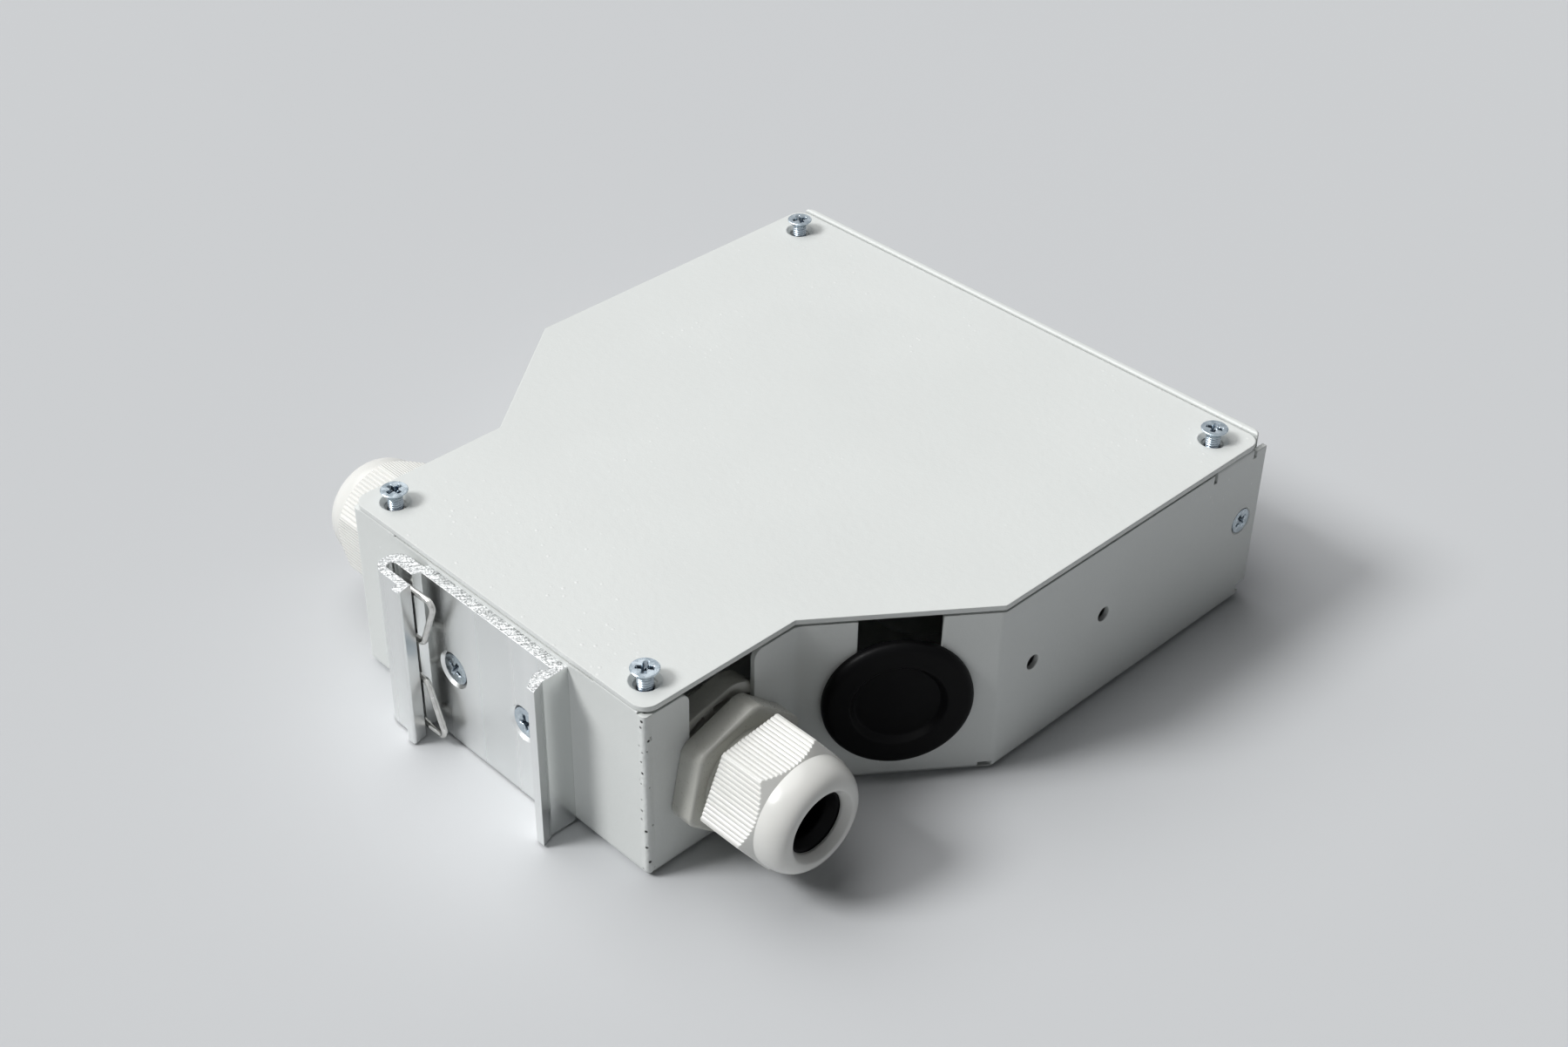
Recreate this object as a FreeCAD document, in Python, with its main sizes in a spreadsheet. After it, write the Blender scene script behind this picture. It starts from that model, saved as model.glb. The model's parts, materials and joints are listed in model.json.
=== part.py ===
import FreeCAD, Part
import math
import os
import Sketcher
from FreeCAD import Placement, Rotation, Vector

# A splice and patch box for optical fibre that clips on a 35 mm rail.
# It lies on its base, +Z up. The patch panel with the adapters faces -Y, the rail clip faces +Y,
# and X = 0 is the plane of symmetry. Lengths are in millimetres.

SIZES = {
    # Folded steel base, seen from above: a narrow rear part, two slanted shoulders, a wide front
    "sheet": 1.0,
    "wide_width": 125.0,
    "narrow_width": 80.8,
    "narrow_length": 34.6,
    "shoulder_end": 64.0,
    "lid_length": 137.8,
    "lid_top": 38.2,
    "lid_sheet": 1.0,
    "lid_gap": 0.5,
    "lid_corner": 3.0,
    "lid_vertex": 0.6,
    "wall_bend": 2.2,
    "weld_corner": 0.8,
    "floor_bend": 1.8,
    "side_length": 139.8,
    "front_drop": 0.7,
    "notch_width": 1.0,
    "notch_depth": 2.0,
    "seam_gap": 0.2,
    "relief_width": 2.2,
    "relief_rise": 1.1,
    "lip_rise": 7.0,
    "lip_relief": 1.6,
    "lip_relief_height": 2.0,
    "lip_side_gap": 4.0,
    # Tabs folded inwards under the lid, each with a hole for a lid screw
    "front_tab_length": 11.4,
    "front_tab_inset": 2.0,
    "front_tab_reach": 12.0,
    "rear_tab_length": 11.0,
    "rear_tab_inset": 1.8,
    "rear_tab_reach": 10.5,
    "tab_fold": 1.0,
    "rear_tab_fold": 0.4,
    "front_screw_side": 6.5,
    "front_screw_inset": 6.8,
    "rear_screw_side": 5.9,
    "rear_screw_inset": 5.5,
    # Small countersunk screws of the lid and the panel
    "screw_thread": 3.0,
    "screw_head": 5.2,
    "screw_rim": 0.25,
    "lid_screw_length": 8.0,
    "panel_screw_length": 6.0,
    "lid_screw_raised": 2.8,
    "countersink": 0.9,
    "tap_chamfer": 0.5,
    "thread_clearance": 0.1,
    "recess_wing": 0.75,
    "recess_depth": 0.9,
    # Round entries, a gland in each narrow wall and a plug in each shoulder, slotted up to the lid
    "entry_height": 18.8,
    "entry_bore": 20.6,
    "entry_slot": 15.0,
    "slot_corner": 2.0,
    "gland_height": 16.8,
    "gland_station": 18.3,
    "gland_slot_station": 17.4,
    "seam_overrun": 3.0,
    # Pair of plain holes in each wide wall
    "side_hole": 3.1,
    "side_hole_pitch": 20.0,
    "side_hole_station": 82.9,
    "side_hole_height": 20.4,
    # Folded patch panel between the side walls
    "panel_sheet": 1.5,
    "panel_gap": 0.2,
    "panel_rise": 0.5,
    "panel_foot": 0.5,
    "panel_flange": 10.0,
    "panel_bend": 1.9,
    "panel_edge": 0.5,
    "panel_screw_inset": 4.6,
    # Adapters in the panel, each with a dust cap
    "adapter_pitch": 13.0,
    "adapter_width": 9.0,
    "adapter_height": 12.6,
    "adapter_front": 9.0,
    "adapter_rear": 14.0,
    "adapter_wall": 1.0,
    "adapter_collar": 0.9,
    "adapter_collar_depth": 1.6,
    "adapter_fit": 0.2,
    "adapter_mouth": 7.5,
    "sleeve_across": 4.0,
    "sleeve_reach": 7.0,
    "cap_head": 1.6,
    "cap_grip": 2.4,
    "cap_grip_width": 4.6,
    "cap_plug": 5.5,
    "cap_edge": 0.8,
    "cap_fit": 0.15,
    # Sawn aluminium rail clip on the rear wall, its section drawn in plan
    "clip_length": 35.4,
    "clip_foot": 0.5,
    "clip_offset": -0.5,
    "clip_plate": 2.2,
    "clip_depth": 8.9,
    "clip_nose": 25.3,
    "clip_nose_radius": 3.1,
    "clip_relief": 0.9,
    "clip_relief_start": 18.0,
    "clip_arm": 1.6,
    "clip_slot": 1.9,
    "clip_slot_end": 23.35,
    "clip_round_rest": 0.02,
    "clip_arm_outer": 7.35,
    "clip_rib_start": 17.2,
    "clip_rib_root": 0.2,
    "clip_rib_tip": 15.0,
    "clip_rib_radius": 0.5,
    "clip_mouth": 15.7,
    "clip_land": 17.9,
    "clip_land_slope": 0.6,
    "hook_outer": 20.5,
    "hook_inner": 18.6,
    "hook_undercut": 1.0,
    "hook_lip": 0.6,
    "hook_waist_end": 5.5,
    "hook_flare": 1.2,
    "hook_tip_depth": 8.3,
    "clip_screw_pitch": 20.0,
    "clip_screw_height": 17.7,
    "clip_screw_thread": 4.0,
    "clip_screw_head": 6.3,
    "clip_screw_length": 8.0,
    "clip_screw_recess": 0.35,
    "clip_nut_across": 7.0,
    "clip_nut_thick": 3.2,
    # Wire spring in the slot of the clip
    "wire": 1.0,
    "wire_height": 17.3,
    "wire_outer": 15.3,
    "wire_inner": 4.6,
    "wire_reach": 11.9,
    "wire_waist": 15.2,
    "wire_tail": 19.0,
    "wire_back": 19.2,
    "wire_bend": 1.3,
    "wire_fit": 0.1,
    # Cable gland of nylon, along its own axis from the outer face of the wall
    "gland_thread": 20.4,
    "gland_bore": 14.0,
    "gland_hex": 24.0,
    "gland_hex_thick": 5.0,
    "gland_hex_bevel": 0.8,
    "gland_turn": 48.4,
    "gland_tail": 9.0,
    "gland_neck": 19.0,
    "gland_neck_end": 10.5,
    "gland_claw": 17.4,
    "gland_claw_end": 17.0,
    "locknut_thick": 4.5,
    "locknut_across": 27.0,
    "locknut_turn": 42.5,
    "nut_start": 7.1,
    "nut_across": 22.2,
    "nut_rib_end": 16.4,
    "nut_dome_start": 18.1,
    "nut_end": 23.6,
    "nut_mouth": 12.0,
    "nut_turn": 30.0,
    "nut_fit": 0.2,
    "nut_wall": 1.3,
    "rib_pitch": 0.9,
    "rib_gap": 0.4,
    "rib_depth": 0.3,
    "seal_outer": 13.8,
    "seal_inner": 9.0,
    "seal_start": 5.5,
    "seal_end": 21.4,
    "seal_lip": 1.2,
    # Rubber blanking plug
    "plug_rim": 27.3,
    "plug_rim_thick": 2.2,
    "plug_dish": 15.5,
    "plug_dish_depth": 1.2,
    "plug_neck": 20.2,
    "plug_barb": 22.6,
    "plug_barb_thick": 2.0,
    "plug_edge": 1.4,
    "plug_fit": 0.1,
    # Splice tray on two standoffs
    "tray_width": 92.0,
    "tray_length": 60.0,
    "tray_rise": 8.0,
    "tray_wall": 1.4,
    "tray_corner": 14.0,
    "tray_station": 83.0,
    "tray_gap": 5.0,
    "tray_window": 16.0,
    "core_outer": 20.0,
    "core_wall": 1.5,
    "core_pitch": 52.0,
    "standoff": 7.0,
    "standoff_spigot": 4.6,
    "tray_screw_head": 5.6,
    "tray_screw_head_thick": 1.9,
    "tray_screw_edge": 0.7,
    "tray_screw_length": 5.0,
    "holder_length": 40.0,
    "holder_width": 21.0,
    "holder_base": 1.5,
    "holder_rib": 0.9,
    "holder_rise": 4.6,
    "holder_pitch": 4.0,
}

PORTS = 8
HOLDER_RIBS = 6
GROOVES_PER_FLAT = 13
DOME_CHORDS = 4
RECESS_SHARE = 0.28  # a cross recess reaches this share of the head's width from its middle
CUT_SHEETS = 6  # a cut made both ways through a slanted wall is this many sheets long

doc = FreeCAD.newDocument("rail_fibre_box")
sheet = doc.addObject("Spreadsheet::Sheet", "Sizes")
for row, (alias, amount) in enumerate(SIZES.items(), start=1):
    sheet.set("A%d" % row, alias)
    sheet.set("B%d" % row, str(amount))
    sheet.setAlias("B%d" % row, alias)
doc.recompute()


class Size:
    """A length with the spreadsheet expression that gives it, so that a formula is written once."""

    def __init__(self, value, text):
        self.value = float(value)
        self.text = text

    def join(self, other, sign, value):
        return Size(value, "(%s %s %s)" % (self.text, sign, as_size(other).text))

    def __add__(self, other):
        return self.join(other, "+", self.value + as_size(other).value)

    def __sub__(self, other):
        return self.join(other, "-", self.value - as_size(other).value)

    def __mul__(self, other):
        return self.join(other, "*", self.value * as_size(other).value)

    def __truediv__(self, other):
        return self.join(other, "/", self.value / as_size(other).value)

    def __neg__(self):
        return Size(-self.value, "(0 - %s)" % self.text)


def as_size(item):
    return item if isinstance(item, Size) else Size(item, repr(float(item)))


def size(alias):
    return Size(SIZES[alias], "Sizes." + alias)


def hypotenuse(a, b):
    return Size(math.hypot(a.value, b.value), "sqrt(%s ^ 2 + %s ^ 2)" % (a.text, b.text))


ZERO = Size(0.0, "0")
PAST = 1.0  # how far a cut runs past the face that it leaves through

# Places that several pieces share
half_wide = size("wide_width") / 2
half_narrow = size("narrow_width") / 2
lid_under = size("lid_top") - size("lid_sheet")
wall_top = lid_under - size("lid_gap")
panel_front = size("side_length") - size("panel_gap")
panel_back = panel_front - size("panel_sheet")
cap_reach = size("adapter_front") + size("cap_head") + size("cap_grip")
shoulder_run = half_wide - half_narrow
shoulder_rise = size("shoulder_end") - size("narrow_length")
shoulder_length = hypotenuse(shoulder_run, shoulder_rise)
# A wall that is offset inwards by d meets the next one d * corner_shift further forward
corner_shift = (shoulder_length - shoulder_rise) / shoulder_run
# The origin lies under the middle of the whole length, from the clip's hooks to the dust caps
rear = (panel_front + cap_reach - size("clip_depth")) / 2
front_screw = (half_wide - size("front_screw_side"), size("lid_length") - size("front_screw_inset"))
rear_screw = (half_narrow - size("rear_screw_side"), size("rear_screw_inset"))
panel_screw = panel_front - size("panel_screw_inset")

# Holes: a countersunk head has 45 degree sides below its rim
clearance = size("thread_clearance") * 2
tapped = size("screw_thread") + clearance
clip_bore = size("clip_screw_thread") + clearance
standoff_hole = size("standoff_spigot") + clearance
through = size("screw_head") + size("screw_rim") * 2 + clearance - size("countersink") * 2
clip_sink = (size("clip_screw_head") - size("clip_screw_thread")) / 2 + size("screw_rim") + size("clip_screw_recess")


def station(distance):
    """Y of a point that lies this far in front of the rear wall's outer face."""
    return rear - distance


def mirrored(points):
    return [(-x, y) for x, y in reversed(points)]


def new_body(label):
    body = doc.addObject("PartDesign::Body", label)
    body.Label = label
    return body


def twin(original, label):
    """Another piece of the same shape, to be placed on its own."""
    body = new_body(label)
    body.BaseFeature = original
    refresh(body, body.Tip)
    return body


def bind(thing, prop, item):
    thing.setExpression(prop, item.text)


def new_sketch(body, name, plane="XY_Plane", lift=ZERO):
    """A sketch on one of the body's own origin planes, lifted along the plane's normal."""
    sketch = body.newObject("Sketcher::SketchObject", name)
    support = [feature for feature in body.Origin.OriginFeatures if feature.Role == plane]
    sketch.AttachmentSupport = [(support[0], "")]
    sketch.MapMode = "FlatFace"
    sketch.AttachmentOffset = Placement(Vector(0, 0, lift.value), Rotation())
    if lift is not ZERO:
        bind(sketch, ".AttachmentOffset.Base.z", lift)
    return sketch


def tie(sketch, constraint, item):
    index = sketch.addConstraint(constraint)
    sketch.setExpression("Constraints[%d]" % index, item.text)


def tie_point(sketch, geometry, end, point):
    for kind, item in zip(("DistanceX", "DistanceY"), point):
        tie(sketch, Sketcher.Constraint(kind, -1, 1, geometry, end, item.value), item)


def draw_outline(sketch, points):
    """A closed outline of straight lines, each corner tied to the sketch's origin."""
    points = [(as_size(x), as_size(y)) for x, y in points]
    first = sketch.GeometryCount
    flat = [Vector(x.value, y.value, 0) for x, y in points]
    for start, end in zip(flat, flat[1:] + flat[:1]):
        sketch.addGeometry(Part.LineSegment(start, end), False)
    for index, point in enumerate(points):
        following = first + (index + 1) % len(points)
        sketch.addConstraint(Sketcher.Constraint("Coincident", first + index, 2, following, 1))
        tie_point(sketch, first + index, 1, point)


def draw_circle(sketch, centre, diameter):
    centre = (as_size(centre[0]), as_size(centre[1]))
    index = sketch.GeometryCount
    middle = Vector(centre[0].value, centre[1].value, 0)
    sketch.addGeometry(Part.Circle(middle, Vector(0, 0, 1), diameter.value / 2), False)
    tie_point(sketch, index, 3, centre)
    tie(sketch, Sketcher.Constraint("Diameter", index, diameter.value), diameter)


def rectangle(left, low, right, high):
    return [(left, low), (right, low), (right, high), (left, high)]


def hexagon(across, turn):
    """Corners of a hexagon about the origin, from its width across flats and its turn in degrees."""
    reach = across / (2 * math.cos(math.radians(30)))
    corners = []
    for index in range(6):
        heading = math.radians(60 * index + turn.value)
        angle = "(60 * %d + %s) * 1 deg" % (index, turn.text)
        corners.append((Size(reach.value * math.cos(heading), "(%s * cos(%s))" % (reach.text, angle)),
                        Size(reach.value * math.sin(heading), "(%s * sin(%s))" % (reach.text, angle))))
    return corners


def refresh(body, *things):
    """Works out only the things that are new, then the body that holds them."""
    for thing in things + (body,):
        thing.recompute()
        thing.purgeTouched()


def pad(body, sketch, length, reverse=False):
    feature = body.newObject("PartDesign::Pad", sketch.Name + "_pad")
    feature.Profile = sketch
    feature.Reversed = reverse
    bind(feature, "Length", length)
    refresh(body, sketch, feature)
    return feature


def pocket(body, sketch, length=None, reverse=False):
    """Cuts the sketch, both ways through everything if it has no length, and checks the cut."""
    before = body.Shape.Volume
    feature = body.newObject("PartDesign::Pocket", sketch.Name + "_pocket")
    feature.Profile = sketch
    feature.Reversed = reverse
    feature.Refine = False
    if length is None:
        feature.Midplane = True
        feature.Type = "ThroughAll"
    else:
        bind(feature, "Length", length)
    refresh(body, sketch, feature)
    if body.Shape.Volume > before - 1e-6:
        raise RuntimeError("%s cut nothing" % feature.Name)
    return feature


def turned(body, points, name, cut=False):
    """A profile of (radius, height) points turned about the body's own Z axis."""
    sketch = new_sketch(body, name, "XZ_Plane")
    draw_outline(sketch, points)
    kind = "PartDesign::Groove" if cut else "PartDesign::Revolution"
    feature = body.newObject(kind, name + "_turned")
    feature.Profile = sketch
    feature.ReferenceAxis = (sketch, ["V_Axis"])
    feature.Angle = 360.0
    refresh(body, sketch, feature)
    return feature


def soften(body, name, wanted, radius, kind="Fillet"):
    """Rounds or chamfers those edges of the body's tip that the test picks."""
    base = body.Tip
    names = ["Edge%d" % index for index, edge in enumerate(base.Shape.Edges, start=1) if wanted(edge)]
    if not names:
        raise RuntimeError("%s found no edge" % name)
    feature = body.newObject("PartDesign::" + kind, name)
    feature.Base = (base, names)
    bind(feature, "Radius" if kind == "Fillet" else "Size", radius)
    refresh(body, feature)
    return feature


def near(a, b, reach=0.02):
    return abs(a - as_size(b).value) < reach


def on_plane(edge, axis, value):
    """True where the whole edge lies in the plane at this value of x, y or z."""
    return all(near(getattr(vertex.Point, axis), value) for vertex in edge.Vertexes)


def upright_at(points):
    """A test for upright straight edges that stand on one of the given plan points."""
    def wanted(edge):
        ends = [vertex.Point for vertex in edge.Vertexes]
        if len(ends) != 2 or near(ends[0].z, ends[1].z):
            return False
        return any(on_plane(edge, "x", x) and on_plane(edge, "y", y) for x, y in points)

    return wanted


def round_on(axis, value):
    """A test for full circles that lie in the plane at this value of x, y or z."""
    def wanted(edge):
        return edge.isClosed() and on_plane(edge, axis, value)

    return wanted


def place(thing, x=ZERO, y=ZERO, z=ZERO, rotation=Rotation()):
    thing.Placement = Placement(Vector(x.value, y.value, z.value), rotation)
    for axis, item in zip("xyz", (x, y, z)):
        if item is not ZERO:
            thing.setExpression(".Placement.Base." + axis, item.text)


def footprint(front, inset=ZERO):
    """Plan outline of the case from the rear wall to the given front station, offset inwards."""
    right = [(half_narrow - inset, station(inset)),
             (half_narrow - inset, station(size("narrow_length") + inset * corner_shift)),
             (half_wide - inset, station(size("shoulder_end") + inset * corner_shift)),
             (half_wide - inset, station(front))]
    return right + mirrored(right)


def folded_from_floor(height, inset):
    """A test for the edges where the floor turns up into the wide walls and the rear wall."""
    def wanted(edge):
        beside = on_plane(edge, "x", half_wide - inset) or on_plane(edge, "x", inset - half_wide)
        forward = edge.CenterOfMass.y < station(size("shoulder_end")).value
        return on_plane(edge, "z", height) and (beside and forward or on_plane(edge, "y", rear - inset))

    return wanted


def cut_seams(body):
    """The narrow and shoulder strips only stand on the floor: a fine seam, and a notch at the fold."""
    step = size("seam_overrun")
    sketch = new_sketch(body, "seam", lift=size("sheet"))
    right = [(half_narrow - step, station(size("sheet"))), (half_narrow + step, station(size("sheet"))),
             (half_narrow + step, station(size("narrow_length") - step)),
             (half_wide + step, station(size("shoulder_end") - step)),
             (half_wide + step, station(size("shoulder_end"))),
             (half_wide - step, station(size("shoulder_end"))),
             (half_narrow - step, station(size("narrow_length") + step))]
    draw_outline(sketch, right)
    draw_outline(sketch, mirrored(right))
    pocket(body, sketch, size("seam_gap"), reverse=True)
    notch = new_sketch(body, "fold_notch", lift=size("sheet"))
    right = rectangle(half_wide - step, station(size("shoulder_end")),
                      half_wide + step, station(size("shoulder_end") - size("relief_width")))
    draw_outline(notch, right)
    draw_outline(notch, mirrored(right))
    pocket(body, notch, size("relief_rise"), reverse=True)


def cut_entries(body):
    """Keyholes: a round hole with a narrower slot from it to the top of the wall."""
    height = size("entry_height")
    half_slot = size("entry_slot") / 2
    middle = station(size("gland_slot_station"))
    low = size("gland_height")
    bore = new_sketch(body, "gland_hole", "YZ_Plane")
    draw_circle(bore, (station(size("gland_station")), low), size("entry_bore"))
    pocket(body, bore)
    slot = new_sketch(body, "gland_slot", "YZ_Plane")
    draw_outline(slot, rectangle(middle - half_slot, low, middle + half_slot, wall_top + PAST))
    pocket(body, slot)

    def slot_mouth(edge):
        beside = on_plane(edge, "y", middle - half_slot) or on_plane(edge, "y", middle + half_slot)
        return on_plane(edge, "z", wall_top) and beside

    soften(body, "gland_slot_corners", slot_mouth, size("slot_corner"))
    for side, name in ((1, "right"), (-1, "left")):
        for kind in ("bore", "slot"):
            sketch = new_sketch(body, "plug_%s_%s" % (kind, name), "XZ_Plane")
            place_on_shoulder(sketch, side)
            if kind == "bore":
                draw_circle(sketch, (ZERO, height), size("entry_bore"))
            else:
                draw_outline(sketch, rectangle(-half_slot, height, half_slot, wall_top + PAST))
            feature = body.newObject("PartDesign::Pocket", sketch.Name + "_pocket")
            feature.Profile = sketch
            feature.Midplane = True
            bind(feature, "Length", size("sheet") * CUT_SHEETS)
            refresh(body, sketch, feature)


def place_on_shoulder(sketch, side):
    """Turns an XZ sketch about Z and carries it to the middle of the shoulder wall's outer face."""
    x, y = shoulder_middle(side)
    angle = math.degrees(math.atan2(shoulder_rise.value, shoulder_run.value))
    turn = Rotation(Vector(0, -side, 0), angle)
    sketch.AttachmentOffset = Placement(Vector(x.value, 0, -y.value), turn)
    bind(sketch, ".AttachmentOffset.Base.x", x)
    bind(sketch, ".AttachmentOffset.Base.z", -y)
    ratio = "%s / %s" % (shoulder_rise.text, shoulder_run.text)
    sketch.setExpression(".AttachmentOffset.Rotation.Angle", "atan(%s)" % ratio)


def shoulder_middle(side):
    x = (half_narrow + half_wide) / 2
    return (x if side > 0 else -x), station((size("narrow_length") + size("shoulder_end")) / 2)


def cut_front(body):
    """Lowers the front ends of the side walls and relieves the corners beside the lip."""
    tab_front = size("lid_length") - size("front_tab_inset")
    past = size("side_length") + PAST
    low = wall_top - size("front_drop")
    notch = wall_top - size("notch_depth")
    top = new_sketch(body, "front_ends", "YZ_Plane")
    draw_outline(top, [(station(tab_front), wall_top + PAST), (station(tab_front), notch),
                       (station(tab_front + size("notch_width")), notch),
                       (station(tab_front + size("notch_width")), low),
                       (station(past), low), (station(past), wall_top + PAST)])
    pocket(body, top)
    tab_rear = tab_front - size("front_tab_length")
    behind = new_sketch(body, "tab_relief", "YZ_Plane")
    draw_outline(behind, rectangle(station(tab_rear), notch,
                                   station(tab_rear - size("notch_width")), wall_top + PAST))
    pocket(body, behind)
    lip_front = panel_back - size("panel_gap")
    lip_back = lip_front - size("sheet")
    relief = size("lip_relief_height")
    foot = new_sketch(body, "lip_relief", "YZ_Plane")
    draw_outline(foot, [(station(lip_front), ZERO - PAST), (station(past), ZERO - PAST),
                        (station(past), relief + size("lip_relief")),
                        (station(lip_back), relief + size("lip_relief")),
                        (station(lip_back), relief), (station(lip_front), relief)])
    pocket(body, foot)
    lip = new_sketch(body, "front_lip")
    side = half_wide - size("lip_side_gap")
    draw_outline(lip, rectangle(-side, station(lip_front), side, station(lip_back)))
    pad(body, lip, size("lip_rise"))


def add_tabs(body):
    """Four tabs folded inwards at lid height: the front ones off the wide walls."""
    lift = lid_under - size("sheet")
    tab_front = size("lid_length") - size("front_tab_inset")
    sketch = new_sketch(body, "front_tabs", lift=lift)
    right = rectangle(half_wide - size("front_tab_reach"), station(tab_front),
                      half_wide, station(tab_front - size("front_tab_length")))
    draw_outline(sketch, right)
    draw_outline(sketch, mirrored(right))
    pad(body, sketch, size("sheet"))
    side = half_narrow - size("rear_tab_inset")
    sketch = new_sketch(body, "rear_tabs", lift=lift)
    right = rectangle(side - size("rear_tab_length"), station(size("rear_tab_reach")), side, rear)
    draw_outline(sketch, right)
    draw_outline(sketch, mirrored(right))
    pad(body, sketch, size("sheet"))

    def side_fold(edge):
        outer = on_plane(edge, "x", half_wide) or on_plane(edge, "x", -half_wide)
        return on_plane(edge, "z", lid_under) and outer

    def rear_fold(edge):
        return on_plane(edge, "z", lid_under) and on_plane(edge, "y", rear)

    soften(body, "side_tab_folds", side_fold, size("tab_fold"))
    soften(body, "rear_tab_folds", rear_fold, size("rear_tab_fold"))
    holes = new_sketch(body, "tab_holes", lift=lid_under)
    for x, distance in (front_screw, rear_screw):
        for side in (x, -x):
            draw_circle(holes, (side, station(distance)), tapped)
    pocket(body, holes, size("sheet") * 2)
    soften(body, "tab_hole_edges", round_on("z", lid_under), size("tap_chamfer"), "Chamfer")


def drill_tray(body):
    """Plain side holes, countersunk holes for the panel screws, and those of the clip and tray."""
    sketch = new_sketch(body, "side_holes", "YZ_Plane")
    for sign in (-1, 1):
        middle = station(size("side_hole_station") + size("side_hole_pitch") / 2 * sign)
        draw_circle(sketch, (middle, size("side_hole_height")), size("side_hole"))
    pocket(body, sketch)
    sketch = new_sketch(body, "panel_screw_holes", "YZ_Plane")
    draw_circle(sketch, (station(panel_screw), size("side_hole_height")), through)
    pocket(body, sketch)

    def countersinks(edge):
        outer = round_on("x", half_wide)(edge) or round_on("x", -half_wide)(edge)
        return outer and near(edge.CenterOfMass.y, station(panel_screw))

    soften(body, "panel_countersinks", countersinks, size("countersink"), "Chamfer")
    sketch = new_sketch(body, "clip_screw_holes", "XZ_Plane")
    for sign in (-1, 1):
        draw_circle(sketch, (clip_screw_x(sign), size("clip_screw_height")), clip_bore)
    pocket(body, sketch)
    sketch = new_sketch(body, "standoff_holes")
    for sign in (-1, 1):
        draw_circle(sketch, (size("core_pitch") / 2 * sign, station(size("tray_station"))), standoff_hole)
    pocket(body, sketch, size("sheet") * 2, reverse=True)


def clip_screw_x(sign):
    return size("clip_offset") + size("clip_screw_pitch") / 2 * sign


def base_tray():
    """Floor, rear wall, wide walls with the shoulder and narrow strips folded on, lip and tabs."""
    body = new_body("base_tray")
    wall = size("sheet")
    plan = new_sketch(body, "tray_plan")
    outline = footprint(size("side_length"))
    draw_outline(plan, outline)
    pad(body, plan, wall_top)
    soften(body, "tray_wall_bends", upright_at([outline[i] for i in (1, 2, 5, 6)]), size("wall_bend"))
    soften(body, "tray_weld_corners", upright_at([outline[0], outline[7]]), size("weld_corner"))
    soften(body, "tray_floor_bends", folded_from_floor(ZERO, ZERO), size("floor_bend"))
    hollow = new_sketch(body, "tray_hollow", lift=wall)
    inner = footprint(size("side_length") + PAST, wall)
    draw_outline(hollow, inner)
    pocket(body, hollow, wall_top, reverse=True)
    soften(body, "tray_inner_bends", upright_at([inner[i] for i in (1, 2, 5, 6)]),
           size("wall_bend") - wall)
    soften(body, "tray_inner_floor", folded_from_floor(wall, wall), size("floor_bend") - wall)
    cut_seams(body)
    cut_entries(body)
    cut_front(body)
    add_tabs(body)
    drill_tray(body)
    return body


def lid():
    """Flat sheet with rounded corners and four countersunk holes."""
    body = new_body("lid")
    plan = new_sketch(body, "lid_plan", lift=lid_under)
    outline = footprint(size("lid_length"))
    draw_outline(plan, outline)
    pad(body, plan, size("lid_sheet"))
    soften(body, "lid_corners", upright_at([outline[i] for i in (0, 3, 4, 7)]), size("lid_corner"))
    soften(body, "lid_vertices", upright_at([outline[i] for i in (1, 2, 5, 6)]), size("lid_vertex"))
    holes = new_sketch(body, "lid_holes", lift=size("lid_top"))
    for x, distance in (front_screw, rear_screw):
        for side in (x, -x):
            draw_circle(holes, (side, station(distance)), through)
    pocket(body, holes, size("lid_sheet") * 2)
    soften(body, "lid_countersinks", round_on("z", size("lid_top")), size("countersink"), "Chamfer")
    return body


def front_panel():
    """Patch panel between the side walls, its two flanges folded back for the side screws."""
    body = new_body("front_panel")
    half = half_wide - size("sheet") - size("panel_gap")
    thick = size("panel_sheet")
    plate = new_sketch(body, "panel_plate", lift=size("panel_foot"))
    draw_outline(plate, rectangle(-half, station(panel_front), half, station(panel_back)))
    pad(body, plate, size("lid_top") + size("panel_rise") - size("panel_foot"))
    low = size("floor_bend") + size("panel_gap") * 2
    high = lid_under - size("sheet") - size("panel_gap")
    flanges = new_sketch(body, "panel_flanges", lift=low)
    right = rectangle(half - thick, station(panel_back), half, station(panel_front - size("panel_flange")))
    draw_outline(flanges, right)
    draw_outline(flanges, mirrored(right))
    pad(body, flanges, high - low)
    corners = [(half, station(panel_front)), (-half, station(panel_front))]
    soften(body, "panel_bends", upright_at(corners), size("panel_bend"))

    def top_edges(edge):
        return on_plane(edge, "z", size("lid_top") + size("panel_rise")) and edge.Length > half.value

    soften(body, "panel_top", top_edges, size("panel_edge"))
    ports = new_sketch(body, "ports", "XZ_Plane")
    wide = size("adapter_width") / 2 + size("adapter_fit")
    tall = size("adapter_height") / 2 + size("adapter_fit")
    height = size("entry_height")
    for port in range(PORTS):
        middle = port_x(port)
        draw_outline(ports, rectangle(middle - wide, height - tall, middle + wide, height + tall))
    pocket(body, ports)
    holes = new_sketch(body, "flange_holes", "YZ_Plane")
    draw_circle(holes, (station(panel_screw), size("side_hole_height")), tapped)
    pocket(body, holes)
    flange_faces = [round_on("x", half), round_on("x", -half)]
    soften(body, "flange_hole_edges", lambda edge: any(test(edge) for test in flange_faces),
           size("tap_chamfer"), "Chamfer")
    return body


def port_x(port):
    return size("adapter_pitch") * (port - (PORTS - 1) / 2)


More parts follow.
